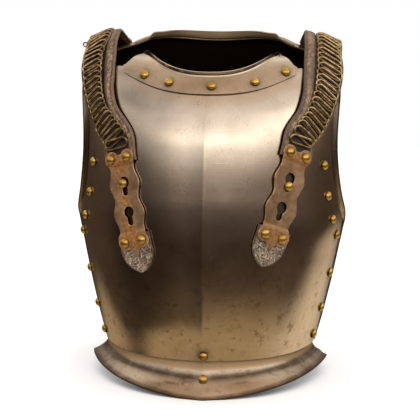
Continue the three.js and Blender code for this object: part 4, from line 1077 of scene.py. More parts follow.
class Nodes:
    """A node tree filled by kind of node, with settings and with links, colours or plain values."""

    def __init__(self, tree):
        self.tree = tree
        tree.nodes.clear()

    def feed(self, socket, value):
        if isinstance(value, bpy.types.NodeSocket):
            self.tree.links.new(value, socket)
        elif socket.type == "RGBA":
            socket.default_value = (*value, 1)
        else:
            socket.default_value = value

    def add(self, kind, settings=None, **inputs):
        node = self.tree.nodes.new(f"ShaderNode{kind}")
        for key, value in (settings or {}).items():
            setattr(node, key, value)
        for key, value in inputs.items():
            numbered = key[0] == "i" and key[1:].isdigit()
            self.feed(node.inputs[int(key[1:]) if numbered else key], value)
        return node

    def place(self, scale=(1, 1, 1)):
        coordinates = self.add("TexCoord").outputs["Object"]
        return self.add("Mapping", Vector=coordinates, Scale=scale).outputs[0]

    def height(self):
        return self.add("SeparateXYZ", Vector=self.add("TexCoord").outputs["Object"]).outputs[2]

    def field(self, name):
        return self.add("Attribute", {"attribute_name": name}).outputs["Fac"]

    def noise(self, scale, detail=4.0, rough=0.55, stretch=(1, 1, 1)):
        node = self.add("TexNoise", Vector=self.place(stretch), Scale=scale, Detail=detail, Roughness=rough)
        return node.outputs[0]

    def pores(self, scale):
        return self.add("TexVoronoi", {"feature": "F1"}, Vector=self.place(), Scale=scale).outputs[0]

    def openness(self, distance, samples=6):
        """How freely a point sees its surroundings within a distance, from 0 to 1."""
        return self.add("AmbientOcclusion", {"samples": samples}, Distance=distance * METRE).outputs["AO"]

    def ramp(self, value, *stops):
        node = self.add("ValToRGB", Fac=value)
        elements = node.color_ramp.elements
        while len(elements) < len(stops):
            elements.new(0.5)
        for element, (place, colour) in zip(elements, stops):
            element.position = place
            element.color = (*colour, 1)
        return node.outputs[0]

    def span(self, value, low, high, to_low=0.0, to_high=1.0, kind="SMOOTHSTEP"):
        ends = {"i1": low, "i2": high, "i3": to_low, "i4": to_high}
        return self.add("MapRange", {"interpolation_type": kind}, i0=value, **ends).outputs[0]

    def maths(self, operation, a, b):
        return self.add("Math", {"operation": operation}, i0=a, i1=b).outputs[0]

    def times(self, a, b):
        return self.maths("MULTIPLY", a, b)

    def mix(self, share, a, b, kind="MIX"):
        node = self.add("Mix", {"data_type": "RGBA", "blend_type": kind}, i0=share)
        self.feed(node.inputs[6], a)
        self.feed(node.inputs[7], b)
        return node.outputs[2]

    def tint(self, tone, share, strength, colour):
        """A tone that takes on a colour by a share of a strength."""
        return self.mix(self.times(share, strength), tone, colour)

    def bump(self, height, strength, distance, **under):
        depth = distance * METRE
        return self.add("Bump", Height=height, Strength=strength, Distance=depth, **under).outputs[0]


class Finish(Nodes):
    """One procedural material."""

    def __init__(self, name):
        self.material = bpy.data.materials.new(name)
        self.material.use_nodes = True
        super().__init__(self.material.node_tree)

    def finish(self, colour, metallic, roughness, normal, **more):
        inputs = {"Base Color": colour, "Metallic": metallic, "Roughness": roughness, "Normal": normal}
        shader = self.add("BsdfPrincipled", **inputs, **more).outputs[0]
        self.add("OutputMaterial", i0=shader)
        return self.material


GRIME = (0.09, 0.05, 0.025)
SHADOW = (0.05, 0.03, 0.018)


def worn_steel(name, light, dark, roughness):
    """Polished steel gone warm with age: cloudy tone, fine scratches, pits, grime round the rivets, and
    painted shade and reflections.
    """
    look = Finish(name)
    tone = look.ramp(look.span(look.noise(14, 5, 0.6), 0.3, 0.7), (0.0, dark), (1.0, light))

    # Patina and a painted reflection of the warm table, tan towards the bottom; scratches, pits and blotches
    low = look.span(look.height(), 0.26, 0.05)
    low_patina_and_reflection = look.times(low, look.span(look.noise(22, 6, 0.65), 0.35, 0.75))
    tone = look.tint(tone, low_patina_and_reflection, 0.35, (0.52, 0.36, 0.2))
    scratch = look.span(look.noise(60, 2, 0.5, (9, 9, 0.35)), 0.6, 0.68)
    streak = look.span(look.noise(55, 2, 0.5, (0.3, 0.6, 8)), 0.6, 0.68)
    wear = look.times(look.maths("MAXIMUM", scratch, streak), look.span(look.noise(11, 3), 0.5, 0.64))
    tone = look.tint(tone, wear, 0.22, (0.9, 0.76, 0.58))
    pit = look.times(look.span(look.pores(420), 0.26, 0.1), look.span(look.noise(35, 3), 0.45, 0.66))
    tone = look.tint(tone, pit, 0.75, (0.08, 0.045, 0.025))
    blotch = look.times(low, look.span(look.noise(70, 6, 0.75), 0.52, 0.68))
    tone = look.tint(tone, blotch, 0.65, (0.22, 0.125, 0.055))
    tone = look.tint(tone, look.span(look.noise(16, 7, 0.75, (1, 1, 0.5)), 0.5, 0.8), 0.4, dark)

    # Dirt round rivets, a painted reflection band and painted shade along the cut edges, painted shade in
    # corners, then the flange's painted reflection bands and stains and the dark inside
    grime = look.times(look.field("grime"), look.span(look.noise(90, 4), 0.25, 0.6))
    tone = look.tint(tone, grime, 0.75, GRIME)
    edge = look.field("edge")
    # A darker brown band 4 to 9 mm in from the cut edges: painted reflection
    rim = look.times(look.span(edge, 9, 4), look.span(look.noise(70, 4), 0.2, 0.6, 0.55))
    tone = look.tint(tone, rim, 0.75, (0.17, 0.105, 0.055))
    # Painted shade within 2.6 mm of the cut edges
    tone = look.mix(look.span(edge, 2.6, 1.2, 0.0, 0.75), tone, SHADOW)
    # Painted shade in corners and where parts meet, from how freely the steel sees its surroundings
    tone = look.mix(look.span(look.openness(14), 0.75, 0.25, 0.0, 0.7), tone, SHADOW)
    # A painted dark reflection band across the flange, darker at its rim and corners
    stain = look.times(look.field("stain"), look.span(look.noise(45, 5, 0.7), 0.2, 0.55, 0.6))
    tone = look.mix(stain, tone, (0.09, 0.055, 0.03))
    # Tan and less metallic: on the flange's top a painted reflection of the warm table, on the back's collar
    # a copper-brown layer
    film = look.field("film")
    tone = look.tint(tone, film, 0.9, (0.36, 0.225, 0.1))
    # Near black on the inner faces and hidden rows; on the breast also painted shade under the keyhole plates
    inside = look.field("inside")
    tone = look.mix(inside, tone, (0.022, 0.014, 0.009))

    gloss = look.span(look.noise(30, 6, 0.7), 0.25, 0.8, roughness - 0.04, roughness + 0.08, "LINEAR")
    gloss = look.maths("ADD", gloss, look.times(look.maths("MAXIMUM", grime, rim), 0.18))
    dulled = look.maths("MAXIMUM", look.maths("MAXIMUM", inside, stain), film)
    gloss = look.maths("ADD", gloss, look.times(dulled, 0.2))
    wave = look.bump(look.noise(9, 2, 0.5), 0.3, 1.0)
    grain = look.bump(look.noise(700, 3, 0.6), 0.12, 0.05, Normal=wave)
    surface = look.bump(look.maths("SUBTRACT", wear, pit), 0.25, 0.05, Normal=grain)
    return look.finish(tone, look.maths("SUBTRACT", 1.0, look.times(film, 0.9)), gloss, surface)


def rusty_plate(name):
    """Brown steel with orange rust where its field says, pale edges that are partly bare and partly a painted
    highlight, and pits.
    """
    look = Finish(name)
    shade = look.span(look.noise(60, 5, 0.65), 0.3, 0.72)
    tone = look.ramp(shade, (0.0, (0.29, 0.17, 0.09)), (1.0, (0.58, 0.385, 0.225)))
    rust = look.times(look.field("rust"), look.span(look.noise(95, 6, 0.7), 0.28, 0.52))
    orange = look.ramp(look.noise(300, 4), (0.35, (0.2, 0.08, 0.022)), (0.65, (0.55, 0.25, 0.07)))
    tone = look.mix(rust, tone, orange)
    # Pale within 0.9 mm of the edges: partly bare-worn steel, partly a painted edge highlight
    worn = look.times(look.span(look.field("edge"), 0.9, 0.1), look.span(look.noise(120, 3), 0.35, 0.6))
    tone = look.tint(tone, worn, 0.6, (0.7, 0.56, 0.4))
    pit = look.times(look.span(look.pores(800), 0.3, 0.12), look.span(look.noise(80, 3), 0.45, 0.65))
    tone = look.tint(tone, pit, 0.6, (0.07, 0.04, 0.02))
    clean = look.span(look.noise(150, 4), 0.3, 0.7, 0.36, 0.52)
    rough = look.maths("ADD", clean, look.times(rust, 0.3))
    grain = look.bump(look.noise(420, 5, 0.65), 0.35, 0.12)
    crust = look.maths("SUBTRACT", look.times(rust, look.noise(500, 3)), pit)
    surface = look.bump(crust, 0.5, 0.15, Normal=grain)
    return look.finish(tone, look.maths("SUBTRACT", 0.75, look.times(rust, 0.6)), rough, surface)


def domed_brass(name):
    """Scuffed brass, darker at a dome's foot."""
    look = Finish(name)
    shade = look.span(look.noise(120, 4), 0.3, 0.7)
    tone = look.ramp(shade, (0.0, (0.55, 0.33, 0.07)), (1.0, (0.92, 0.62, 0.18)))
    tone = look.tint(tone, look.span(look.field("foot"), 1.6, 0.2), 0.8, (0.06, 0.03, 0.01))
    scuff = look.bump(look.noise(500, 4, 0.6), 0.3, 0.08)
    return look.finish(tone, 0.95, look.span(look.noise(200, 4), 0.3, 0.7, 0.3, 0.38), scuff)


def chain_brass(name, light, dark):
    """Old brass wire with painted shade where a link is sunk or hidden, and a little red."""
    look = Finish(name)
    shade = look.span(look.noise(160, 5, 0.65), 0.3, 0.7)
    tone = look.ramp(shade, (0.0, dark), (1.0, light))
    # Painted shade on each link's sunk side, with a random darkening per link
    tone = look.tint(tone, look.field("tone"), 0.8, dark)
    # Painted shade in the gaps between links
    tone = look.mix(look.span(look.openness(3), 0.5, 0.1), tone, (0.02, 0.012, 0.006))
    tone = look.tint(tone, look.span(look.noise(60, 4), 0.6, 0.72), 0.4, (0.35, 0.12, 0.03))
    scuff = look.bump(look.noise(600, 3), 0.3, 0.05)
    return look.finish(tone, 0.82, look.span(shade, 0, 1, 0.32, 0.18), scuff)


def old_leather(name, body, worn, hem, scuff=(0.52, 0.39, 0.27), cracks=0.0, crack_scale=70.0):
    """Dark grained leather with painted shade at its edges and pale scuffs with a painted sheen on its rolled
    side, with a thin hem and, on tongues, deep cracks.
    """
    look = Finish(name)
    tone = look.ramp(look.span(look.noise(45, 6, 0.65), 0.3, 0.72), (0.0, body), (1.0, worn))
    edge = look.field("edge")
    # Painted light and shade of the rolled edge: lightest 5 to 6 mm in, darker at the edge and further in
    crest = look.times(look.span(edge, 6.0, 13.5, 1.0, 0.2), look.span(edge, 1.0, 5.0, 0.25))
    tone = look.mix(look.maths("SUBTRACT", 1.0, crest), tone, (0.035, 0.022, 0.014))
    tone = look.mix(look.span(edge, 1.6, 0.8), tone, hem)

    # Cracks between wandering cells, and the valleys between a tongue's ridges
    bent = look.add("TexNoise", Vector=look.place(), Scale=38.0, Detail=3.0).outputs[1]
    spread = look.mix(0.06, look.place(), bent)
    cells = look.add("TexVoronoi", {"feature": "DISTANCE_TO_EDGE"}, Vector=spread, Scale=crack_scale)
    crack = look.times(look.span(cells.outputs[0], 0.12, 0.0), cracks)
    tone = look.tint(tone, crack, 0.85, (0.02, 0.012, 0.008))
    tone = look.tint(tone, look.field("valley"), 0.85, (0.025, 0.015, 0.01))

    # Grain, scuffs with a painted sheen on the rolled crest, and painted shade under the chain
    weave = {"wave_type": "BANDS", "bands_direction": "DIAGONAL"}
    bands = look.add("TexWave", weave, Vector=look.place(), Scale=250.0, Distortion=4.0, Detail=2.0)
    hatch = bands.outputs[1]
    tone = look.tint(tone, look.span(hatch, 0.5, 0.0), 0.4, (0.03, 0.02, 0.012))
    grain = look.span(look.noise(380, 4, 0.8, (1, 1, 0.5)), 0.48, 0.6)
    # Pale scuffs on the crest: partly wear, partly a painted sheen
    scuffs_and_sheen = look.times(look.times(grain, crest), look.span(look.noise(30, 3), 0.3, 0.6, 0.3))
    tone = look.tint(tone, scuffs_and_sheen, 0.85, scuff)
    # Painted shade under the chain
    tone = look.tint(tone, look.field("covered"), 0.93, (0.012, 0.008, 0.005))

    skin = look.bump(look.maths("ADD", look.pores(1100), look.times(hatch, 0.6)), 0.5, 0.12)
    folds = look.bump(look.noise(60, 5, 0.6), 0.45, 0.5, Normal=skin)
    split = look.bump(look.maths("SUBTRACT", 1.0, crack), 0.8, 0.5, Normal=folds)
    rough = look.span(look.noise(90, 4), 0.3, 0.7, 0.38, 0.6)
    return look.finish(tone, 0.0, rough, split, **{"Specular IOR Level": 0.65})


steel = worn_steel("steel", (0.82, 0.7, 0.58), (0.66, 0.55, 0.44), 0.14)
band_steel = worn_steel("band_steel", (0.78, 0.66, 0.53), (0.54, 0.43, 0.32), 0.18)
dark_steel = worn_steel("dark_steel", (0.7, 0.5, 0.33), (0.42, 0.27, 0.16), 0.32)
plate_steel = rusty_plate("plate_steel")
brass = domed_brass("brass")
chain_finish = {
    "left": chain_brass("left_chain_brass", (0.98, 0.74, 0.4), (0.2, 0.12, 0.05)),
    "right": chain_brass("right_chain_brass", (0.9, 0.66, 0.34), (0.13, 0.075, 0.03)),
}
strap_finish = {
    "left": old_leather("left_strap_leather", (0.13, 0.075, 0.04), (0.33, 0.21, 0.125), (0.13, 0.085, 0.055)),
    "right": old_leather("right_strap_leather", (0.09, 0.05, 0.026), (0.24, 0.145, 0.08), (0.2, 0.125, 0.08)),
}
tongue_finish = {
    "left": old_leather(
        "left_tongue_leather",
        body=(0.17, 0.115, 0.08),
        worn=(0.44, 0.33, 0.24),
        hem=(0.2, 0.14, 0.1),
        scuff=(0.78, 0.63, 0.47),
        cracks=1.0,
        crack_scale=330.0,
    ),
    "right": old_leather(
        "right_tongue_leather",
        body=(0.12, 0.078, 0.052),
        worn=(0.36, 0.26, 0.18),
        hem=(0.2, 0.13, 0.09),
        scuff=(0.72, 0.56, 0.4),
        cracks=0.2,
        crack_scale=200.0,
    ),
}


def dress(obj, body, slot, *nodes):
    """A finished piece stands for its solids and rides on their body."""
    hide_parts(*nodes)
    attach(obj, body)


def grime_near(points, places, reach):
    """A share of dirt that fades out from the foot of each rivet."""
    total = np.zeros(len(points))
    for place in places:
        gap = np.maximum(np.linalg.norm(points - place, axis=1) - GRIME_START, 0)
        total += np.exp(-gap / reach * GRIME_FADE)
    return np.minimum(total, 1)


def painted_shade_under_plates(points):
    """How far each point is hidden under a keyhole plate, from 0 to 1, for painted shade under the plates."""
    hidden = np.zeros(len(points))
    for strap in straps:
        line = strap.plate.at(np.arange(BOTTOM_RIVET, TOP_RIVET, PATH_STEP))[0]
        nearest = np.min(np.linalg.norm(points[:, None] - line[None], axis=2), axis=1)
        hidden = np.maximum(hidden, 0.8 * (1 - smooth(nearest, 10, 17)))
    return hidden


def body_plate(name, shell, grid, wall, finish, slot, dirt):
    inner = grid - grid_normals(grid, shell.facing) * wall
    obj = wall_object(f"{name}_plate", grid, inner, finish, SHEET_RIM)
    points = grid.reshape(-1, 3)
    set_wall_field(obj, "grime", grime_near(points, dirt, GRIME_REACH))
    set_wall_field(obj, "edge", edge_distance(grid))
    # Painted shade on the breast's steel under the keyhole plates
    painted_plate_shade = painted_shade_under_plates(points) if name == "breast" else np.zeros(len(points))
    set_wall_field(obj, "inside", painted_plate_shade, np.ones(len(points)))
    dress(obj, name, slot, f"{name}_shell")


def neck_collar(name, shell, grid, slot, dirt):
    outer, inner = neck_band(shell, grid, *BANDS[name])
    obj = wall_object(f"{name}_neck_collar", outer, inner, band_steel, BAND_RIM)
    grid_shape = outer.shape[:2]
    hidden = np.zeros(grid_shape)
    hidden[: BAND_ROWS + 2] = 1
    set_wall_field(obj, "grime", grime_near(outer.reshape(-1, 3), dirt, BAND_GRIME_REACH))
    set_wall_field(obj, "edge", np.full(grid_shape, NO_EDGE))
    set_wall_field(obj, "inside", np.zeros(grid_shape), hidden)
    if name == "back":
        set_wall_field(obj, "film", np.full(grid_shape, BACK_COLLAR_FILM))
    dress(obj, name, slot, f"{name}_neck_band")


def flange(name, shell, grid, wall, finish, slot):
    """A waist flange with a painted dark reflection band where it turns, darker at its rim and its corners,
    and a painted tan reflection at its top.
    """
    outer, inner = waist_flange(shell, wall, grid, *FLANGES[name])
    obj = wall_object(f"{name}_flange", outer, inner, finish, SHEET_RIM)
    run = running_length(outer)
    up = run / run[FLANGE_STEPS]
    turn = np.abs(np.linspace(-1, 1, outer.shape[1]))[None]
    corner = smooth(turn, 0.3, 0.72) * (1 - smooth(up, 0.78, 1.0))
    # A painted dark reflection band across the middle of the flange, darker at its rim and towards its
    # corners
    stain = 0.95 * np.exp(-(((up - 0.6) / 0.1) ** 2)) + 0.5 * (1 - smooth(up, 0.02, 0.08))
    set_wall_field(obj, "edge", run)
    set_wall_field(obj, "inside", np.zeros(run.shape), np.ones(run.shape))
    set_wall_field(obj, "stain", np.minimum(stain + 0.75 * corner, 0.95))
    # Painted tan reflection of the warm table on the flange's top
    set_wall_field(obj, "film", smooth(up, 0.66, 0.84))
    dress(obj, name, slot, f"{name}_waist_flange")
    return outer[:, outer.shape[1] // 2]


def breast_seat(side, rise, stand=0.0):
    """A place on the breast, lifted by a stand, and the direction out of it."""
    normal = breast.normal(side, rise)
    return breast.point(side, rise) + normal * stand, normal


def body_rivets():
    """Names, places and directions of the rivets on the breast's steel and neck band."""
    rivets = []
    for number, share in enumerate(NECK_RIVETS, 1):
        side = float(breast.side_at(share * NECK_HALF, breast_neck_rise))
        rise = float(breast.rise_below(side, breast_seam(side), NECK_RIVET_RISE, -SLOPE_STEP))
        rivets.append((f"neck_rivet_{number}", *breast_seat(side, rise, SEAT + BAND_WALL)))
    for name, sign in (("left", 1), ("right", -1)):
        for number, (share, height) in enumerate(SIDE_RIVETS, 1):
            place = breast_seat(sign * share, breast.rise_at(height * ARMPIT))
            rivets.append((f"{name}_side_rivet_{number}", *place))
    rivets.append(("waist_rivet", *breast.at(0, WAIST + WAIST_RIVET_RISE)))
    return rivets


def flange_rivet(profile):
    """The rivet on the front of the breast's flange, whose middle line is given."""
    row = int(np.argmin(np.abs(profile[:, 2] - FLANGE_RIVET_HEIGHT)))
    slope = unit(profile[row + 1] - profile[row - 1])
    return "flange_rivet", profile[row], unit(np.cross([1.0, 0, 0], slope))


def add_dome(node, place, axis, body, profile):
    """A brass head, leaning a little and turned at random, that stands for one node."""
    rng = np.random.default_rng(sum(map(ord, node)))
    axis = unit(np.asarray(axis) + rng.normal(0, DOME_LEAN, 3))
    obj = lathe(node + "_dome", profile, place + axis * SEAT / 2, axis, brass, DOME_SIDES, rng.random())
    foot = profile[-1 - DOME_RINGS][1]
    set_field(obj, "foot", np.repeat([height - foot for radius, height in profile], DOME_SIDES))
    dress(obj, body, "brass", node)


def keyhole_plate(strap, points, faces, edge):
    """The flat plate bent onto its path, rusty round its rivets and, on the right, down its middle."""
    point, along, out, across = strap.plate.at(points[:, 1])
    lift = joggle(points[:, 1]) + points[:, 2]
    bent = point + across * points[:, :1] + out * lift[:, None]
    obj = make_object(f"{strap.name}_keyhole_plate", bent, faces, plate_steel, 35)
    rust = np.zeros(len(bent))
    for spot in PLATE_RIVETS:
        rust += np.exp(-((np.linalg.norm(points[:, :2] - spot, axis=1) / 12) ** 2))
    if strap.side < 0:
        rust += 0.9 * np.exp(-(((points[:, 0] + 3) / 9) ** 2))
    set_field(obj, "rust", np.minimum(rust, 1))
    set_field(obj, "edge", edge)
    dress(obj, f"{strap.name}_plate", "plate_steel", f"{strap.name}_strap_plate")


def plate_rivets(strap):
    for number, (aside, rise) in enumerate(PLATE_RIVETS, 1):
        point, along, out, across = strap.plate.at(rise)
        place = point + across * aside + out * (PLATE_END_HEIGHT + PLATE_WALL)
        add_dome(f"{strap.name}_plate_rivet_{number}", place, out, f"{strap.name}_plate", RIVET_PROFILE)


def stud(strap):
    point, normal = breast.at(strap.side * STUD_SIDE, STUD_RISE)
    base = STAND_OFF + PLATE_WALL + STUD_HEAD_GAP
    neck = [(STUD_NECK, -SEAT), (STUD_NECK, base - 0.05)]
    profile = neck + dome_profile(STUD_RADIUS, STUD_HEIGHT, base)
    add_dome(f"{strap.name}_stud", point, normal, "breast", profile)


def tongue(strap):
    """The cracked leather end that hangs below the keyhole plate."""
    bottom = BOTTOM_JOGGLE - JOGGLE_LENGTH - SEAT
    lengths = TONGUE_TIP + (bottom - TONGUE_TIP) * np.linspace(0, 1, TONGUE_ROWS) ** 1.5
    outer, inner, shares = strip(
        strap.plate, lengths, tongue_half, STRAP_LIFT, strap.tongue_top, TONGUE_COLUMNS
    )
    obj = wall_object(f"{strap.name}_tongue", outer, inner, tongue_finish[strap.name], LEATHER_RIM)
    length, half = lengths[:, None], tongue_half(lengths)[:, None]
    edges = np.minimum((1 - np.abs(shares)) * half, length - TONGUE_TIP)
    set_wall_field(obj, "edge", np.clip(edges + 1.2, 0, 6))
    valley = smooth(-strap.ridges(length, shares, half), -0.1, 0.8)
    set_wall_field(obj, "valley", valley * (0.5 if strap.side > 0 else 1))
    dress(obj, f"{strap.name}_plate", "leather", f"{strap.name}_strap_tongue")


def flex(obj, strap, lower, upper, start, end):
    """A piece of a strap with its placing baked into its mesh; its two bodies and the stretch of strap are
    not used to bend it.
    """
    start, end = (tuple(in_frame(strap.path.at(length)[0])) for length in (start, end))
    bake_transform(obj)
    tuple(start)
    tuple(end)


def flex_at_crest(obj, strap):
    flex(obj, strap, "breast", "back", strap.crest - CREST_BEND, strap.crest + CREST_BEND)


def strap_run(strap, part, start, end, *nodes):
    """A run of strap leather, with painted shade under the chain."""
    lengths = np.arange(start, end, STRAP_STEP)
    lengths = np.append(lengths[lengths < end - STRAP_STEP / 4], end)
    low = -STRAP_WALL / 2
    outer, inner, shares = strip(strap.path, lengths, strap.half, low, strap.top, STRAP_COLUMNS)
    obj = wall_object(f"{strap.name}_strap_{part}", outer, inner, strap_finish[strap.name])
    half = strap.half(lengths)[:, None]
    set_wall_field(obj, "edge", (1 - np.abs(shares)) * half)
    set_wall_field(obj, "covered", strap.covered(lengths[:, None], shares, half))
    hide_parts(*nodes)
    return obj


def strap_leather(strap):
    """The strap in two runs that share a section where they meet."""
    name, under = strap.name, TOP_JOGGLE + JOGGLE_LENGTH - JOINT
    lower = strap_run(strap, "lower", under, STRAP_SPLIT, f"{name}_strap_leather_end")
    flex(lower, strap, f"{name}_plate", "breast", *JOINT_BEND)
    nodes = (f"{name}_strap_leather_front", f"{name}_strap_leather_rear")
    flex_at_crest(strap_run(strap, "upper", STRAP_SPLIT, strap.length, *nodes), strap)


def link_places(start, end, gap):
    """Even places of links between two ends, each with their gap above the leather."""
    reach = LINK_END + WIRE
    room = end - start - 2 * reach
    count = round(room / LINK_PITCH)
    return [(start + reach + room * i / count, gap) for i in range(count + 1)]


def chain_link(strap, flat, place, gap, rng):
    """The middle line of one slanted, tilted and slightly bowed link at a place on its strap."""
    side, crest = strap.side, strap.crest
    point, along, out, across = strap.path.at(place)
    full = smooth(place, crest * 0.1, crest * 0.6) * (1 - smooth(place, crest, strap.length))
    slant = math.radians(LINK_SLANT) * full + math.radians(rng.normal(0, SLANT_WANDER))
    tilt = math.radians(LINK_TILT + rng.normal(0, TILT_WANDER))
    long = across * math.cos(slant) - along * side * math.sin(slant)
    short = np.cross(out, long) * math.cos(tilt) + out * math.sin(tilt)
    height = STRAP_WALL / 2 + gap + WIRE + LINK_END * math.sin(math.radians(LINK_TILT))
    aside = side * strap.chain_offset(place) + rng.normal(0, ASIDE_WANDER)
    middle = point + across * aside + out * height + along * rng.normal(0, PITCH_WANDER)
    reach = np.abs(flat[:, :1]) / LINK_HALF
    squeeze = (1 + rng.normal(0, WIDTH_WANDER)) * (1 - 0.25 * reach**6)
    slack = smooth(place, crest * 0.2, crest * 0.35) * (1 - smooth(place, crest * 0.7, crest * 0.85))
    shrink = 1 if side > 0 else 1 - 0.22 * slack
    level = middle + long * flat[:, :1] * shrink + short * flat[:, 1:] * squeeze
    return level - out * LINK_BOW * reach**3


def loose_ring(strap):
    """The middle line of the ring that hangs beside the chain."""
    point, along, out, across = strap.path.at(strap.crest - LOOSE_RING_BEFORE_CREST)
    turn = np.linspace(0, 2 * np.pi, 20, endpoint=False)[:, None]
    middle = point - across * (LINK_HALF + LINK_END) + out * (STRAP_WALL / 2 + LOOSE_RING)
    return middle + (across * np.cos(turn) + unit(out + along * 0.6) * np.sin(turn)) * LOOSE_RING


def chain(strap):
    """All links of one strap as one piece, with painted shade where a link is sunk."""
    rng = np.random.default_rng(7 + strap.side)
    flat = link_loop()
    sunk = (1 - flat[:, 1] / LINK_END) / 2
    end = strap.length - ANCHOR_LENGTH - SEAT
    places = link_places(0, strap.crest - SEAT / 2, CHAIN_FRONT_GAP)
    places += link_places(strap.crest + SEAT / 2, end, CHAIN_REAR_GAP)
    tubes, tones = [], []
    for place, gap in places:
        tubes.append(tube_rings(chain_link(strap, flat, place, gap, rng), WIRE, WIRE_SIDES))
        # Tone field: painted shade on the sunk side of each link, and a random share per link
        tones.append(np.repeat(0.7 * sunk + 0.3 * rng.random(), WIRE_SIDES))
    if strap.side < 0:
        tubes.append(tube_rings(loose_ring(strap), WIRE * 0.7, WIRE_SIDES))
        tones.append(np.full(len(tubes[-1][0]), 0.3))
    points = np.concatenate([rings for rings, faces in tubes])
    starts = np.cumsum([0] + [len(rings) for rings, faces in tubes[:-1]])
    faces = np.concatenate([faces + start for (rings, faces), start in zip(tubes, starts)])
    obj = make_object(f"{strap.name}_chain", points, faces, chain_finish[strap.name], 60)
    set_field(obj, "tone", np.concatenate(tones))
    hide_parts(f"{strap.name}_strap_chain_front", f"{strap.name}_strap_chain_rear")
    flex_at_crest(obj, strap)


def anchor(strap):
    """The plate that holds the strap to the back, and its two rivets."""
    low = STRAP_WALL / 2 + ANCHOR_GAP
    lengths = np.linspace(strap.length - ANCHOR_LENGTH, strap.length, ANCHOR_ROWS)
    half, top = (lambda length: ANCHOR_HALF), (lambda *place: low + ANCHOR_WALL)
    outer, inner, shares = strip(strap.path, lengths, half, low, top, ANCHOR_COLUMNS)
    obj = wall_object(f"{strap.name}_anchor", outer, inner, plate_steel, ANCHOR_RIM)
    ends = np.minimum(lengths - lengths[0], lengths[-1] - lengths)[:, None]
    edges = np.minimum((1 - np.abs(shares)) * ANCHOR_HALF, ends)
    set_wall_field(obj, "edge", edges)
    set_wall_field(obj, "rust", np.full(edges.shape, ANCHOR_RUST))
    dress(obj, "back", "plate_steel", f"{strap.name}_anchor_plate")
    point, along, out, across = strap.path.at(strap.length - ANCHOR_LENGTH / 2)
    for number, sign in enumerate((-1, 1), 1):
        place = point + across * sign * ANCHOR_RIVET_SPACING / 2 + out * (low + ANCHOR_WALL)
        add_dome(f"{strap.name}_anchor_rivet_{number}", place, out, "back", RIVET_PROFILE)


# The bodies with their bands, flanges and rivets
BANDS = {
    "breast": (breast_sides, breast_top, breast_band_side, breast_neck_side, *BREAST_COLLAR),
    "back": (back_sides, back_top, back_band_side, back_neck_side, *BACK_COLLAR),
}
FLANGES = {"breast": BREAST_FLANGE, "back": BACK_FLANGE}
RIVET_PROFILE = dome_profile(RIVET_RADIUS, RIVET_HEIGHT)

straps = [Strap(name, *values) for name, values in STRAPS.items()]
rivets = body_rivets()
rivet_dirt = np.array([place for name, place, normal in rivets])

body_plate("breast", breast, breast_grid, BREAST_WALL, steel, "breast_steel", rivet_dirt)
neck_collar("breast", breast, breast_grid, "breast_steel", rivet_dirt)
flange_middle = flange("breast", breast, breast_grid, BREAST_WALL, steel, "breast_steel")
body_plate("back", back, back_grid, BACK_WALL, dark_steel, "back_steel", [])
neck_collar("back", back, back_grid, "back_steel", [])
flange("back", back, back_grid, BACK_WALL, dark_steel, "back_steel")
for node, place, normal in [*rivets, flange_rivet(flange_middle)]:
    add_dome(node, place, normal, "breast", RIVET_PROFILE)

# The straps from their plates to their anchors
plate_blank = flat_plate()
for strap in straps:
    keyhole_plate(strap, *plate_blank)
    plate_rivets(strap)
    stud(strap)
    tongue(strap)
    strap_leather(strap)
    chain(strap)
    anchor(strap)


def stage_finish():
    """A pale ground that glows for the camera, with a painted shadow near the object, and is clear to
    mirrors.
    """
    look = Finish("stage")
    path = look.add("LightPath")
    ground = look.add("BsdfDiffuse", Color=(0.62, 0.635, 0.66)).outputs[0]
    # Painted shadow: the glow fades where the ground sees less of its surroundings, near the object
    near = look.span(look.openness(160, 12), 0.35, 0.95, 0.05, 0.75, "LINEAR")
    strength = look.times(path.outputs["Is Camera Ray"], near)
    glow = look.add("Emission", Color=(0.96, 0.98, 1), Strength=strength).outputs[0]
    seen = look.add("AddShader", i0=ground, i1=glow).outputs[0]
    mirrored = look.add("BsdfTransparent").outputs[0]
    both = look.add("MixShader", i0=path.outputs["Is Glossy Ray"], i1=seen, i2=mirrored).outputs[0]
    look.add("OutputMaterial", i0=both)
    return look.material


def floor():
    mesh = bpy.data.meshes.new("floor")
    front, behind, half = -0.55, 2.6, 2.4
    corners = [(-half, front, 0), (half, front, 0), (half, behind, 0), (-half, behind, 0)]
    mesh.from_pydata(corners, [], [(0, 1, 2, 3)])
    mesh.materials.append(stage_finish())
    new_object("floor", mesh)


# Colours that the steel mirrors in front, from straight down to straight up
SKY = [
    (0.0, (0.1, 0.07, 0.042)),
    (0.27, (0.1, 0.07, 0.042)),
    (0.32, (0.07, 0.047, 0.032)),
    (0.37, (0.05, 0.033, 0.022)),
    (0.42, (0.048, 0.031, 0.022)),
    (0.448, (0.085, 0.061, 0.052)),
    (0.485, (0.11, 0.084, 0.07)),
    (0.526, (0.19, 0.155, 0.135)),
    (0.544, (0.29, 0.245, 0.21)),
    (0.561, (0.43, 0.37, 0.33)),
    (0.587, (0.58, 0.52, 0.47)),
    (0.612, (0.9, 0.84, 0.77)),
    (0.655, (1.2, 1.15, 1.07)),
    (0.719, (1.9, 1.8, 1.68)),
    (0.772, (1.32, 1.26, 1.2)),
    (0.81, (1.0, 0.94, 0.89)),
    (0.866, (0.88, 0.82, 0.77)),
    (0.924, (0.72, 0.61, 0.51)),
    (0.967, (0.64, 0.5, 0.39)),
    (1.0, (0.5, 0.38, 0.28)),
]
# The same behind
REAR_SKY = [
    (0.0, (0.06, 0.04, 0.025)),
    (0.45, (0.06, 0.04, 0.028)),
    (0.55, (0.14, 0.11, 0.08)),
    (0.65, (0.6, 0.52, 0.44)),
    (0.8, (0.95, 0.87, 0.78)),
    (1.0, (0.6, 0.5, 0.4)),
]


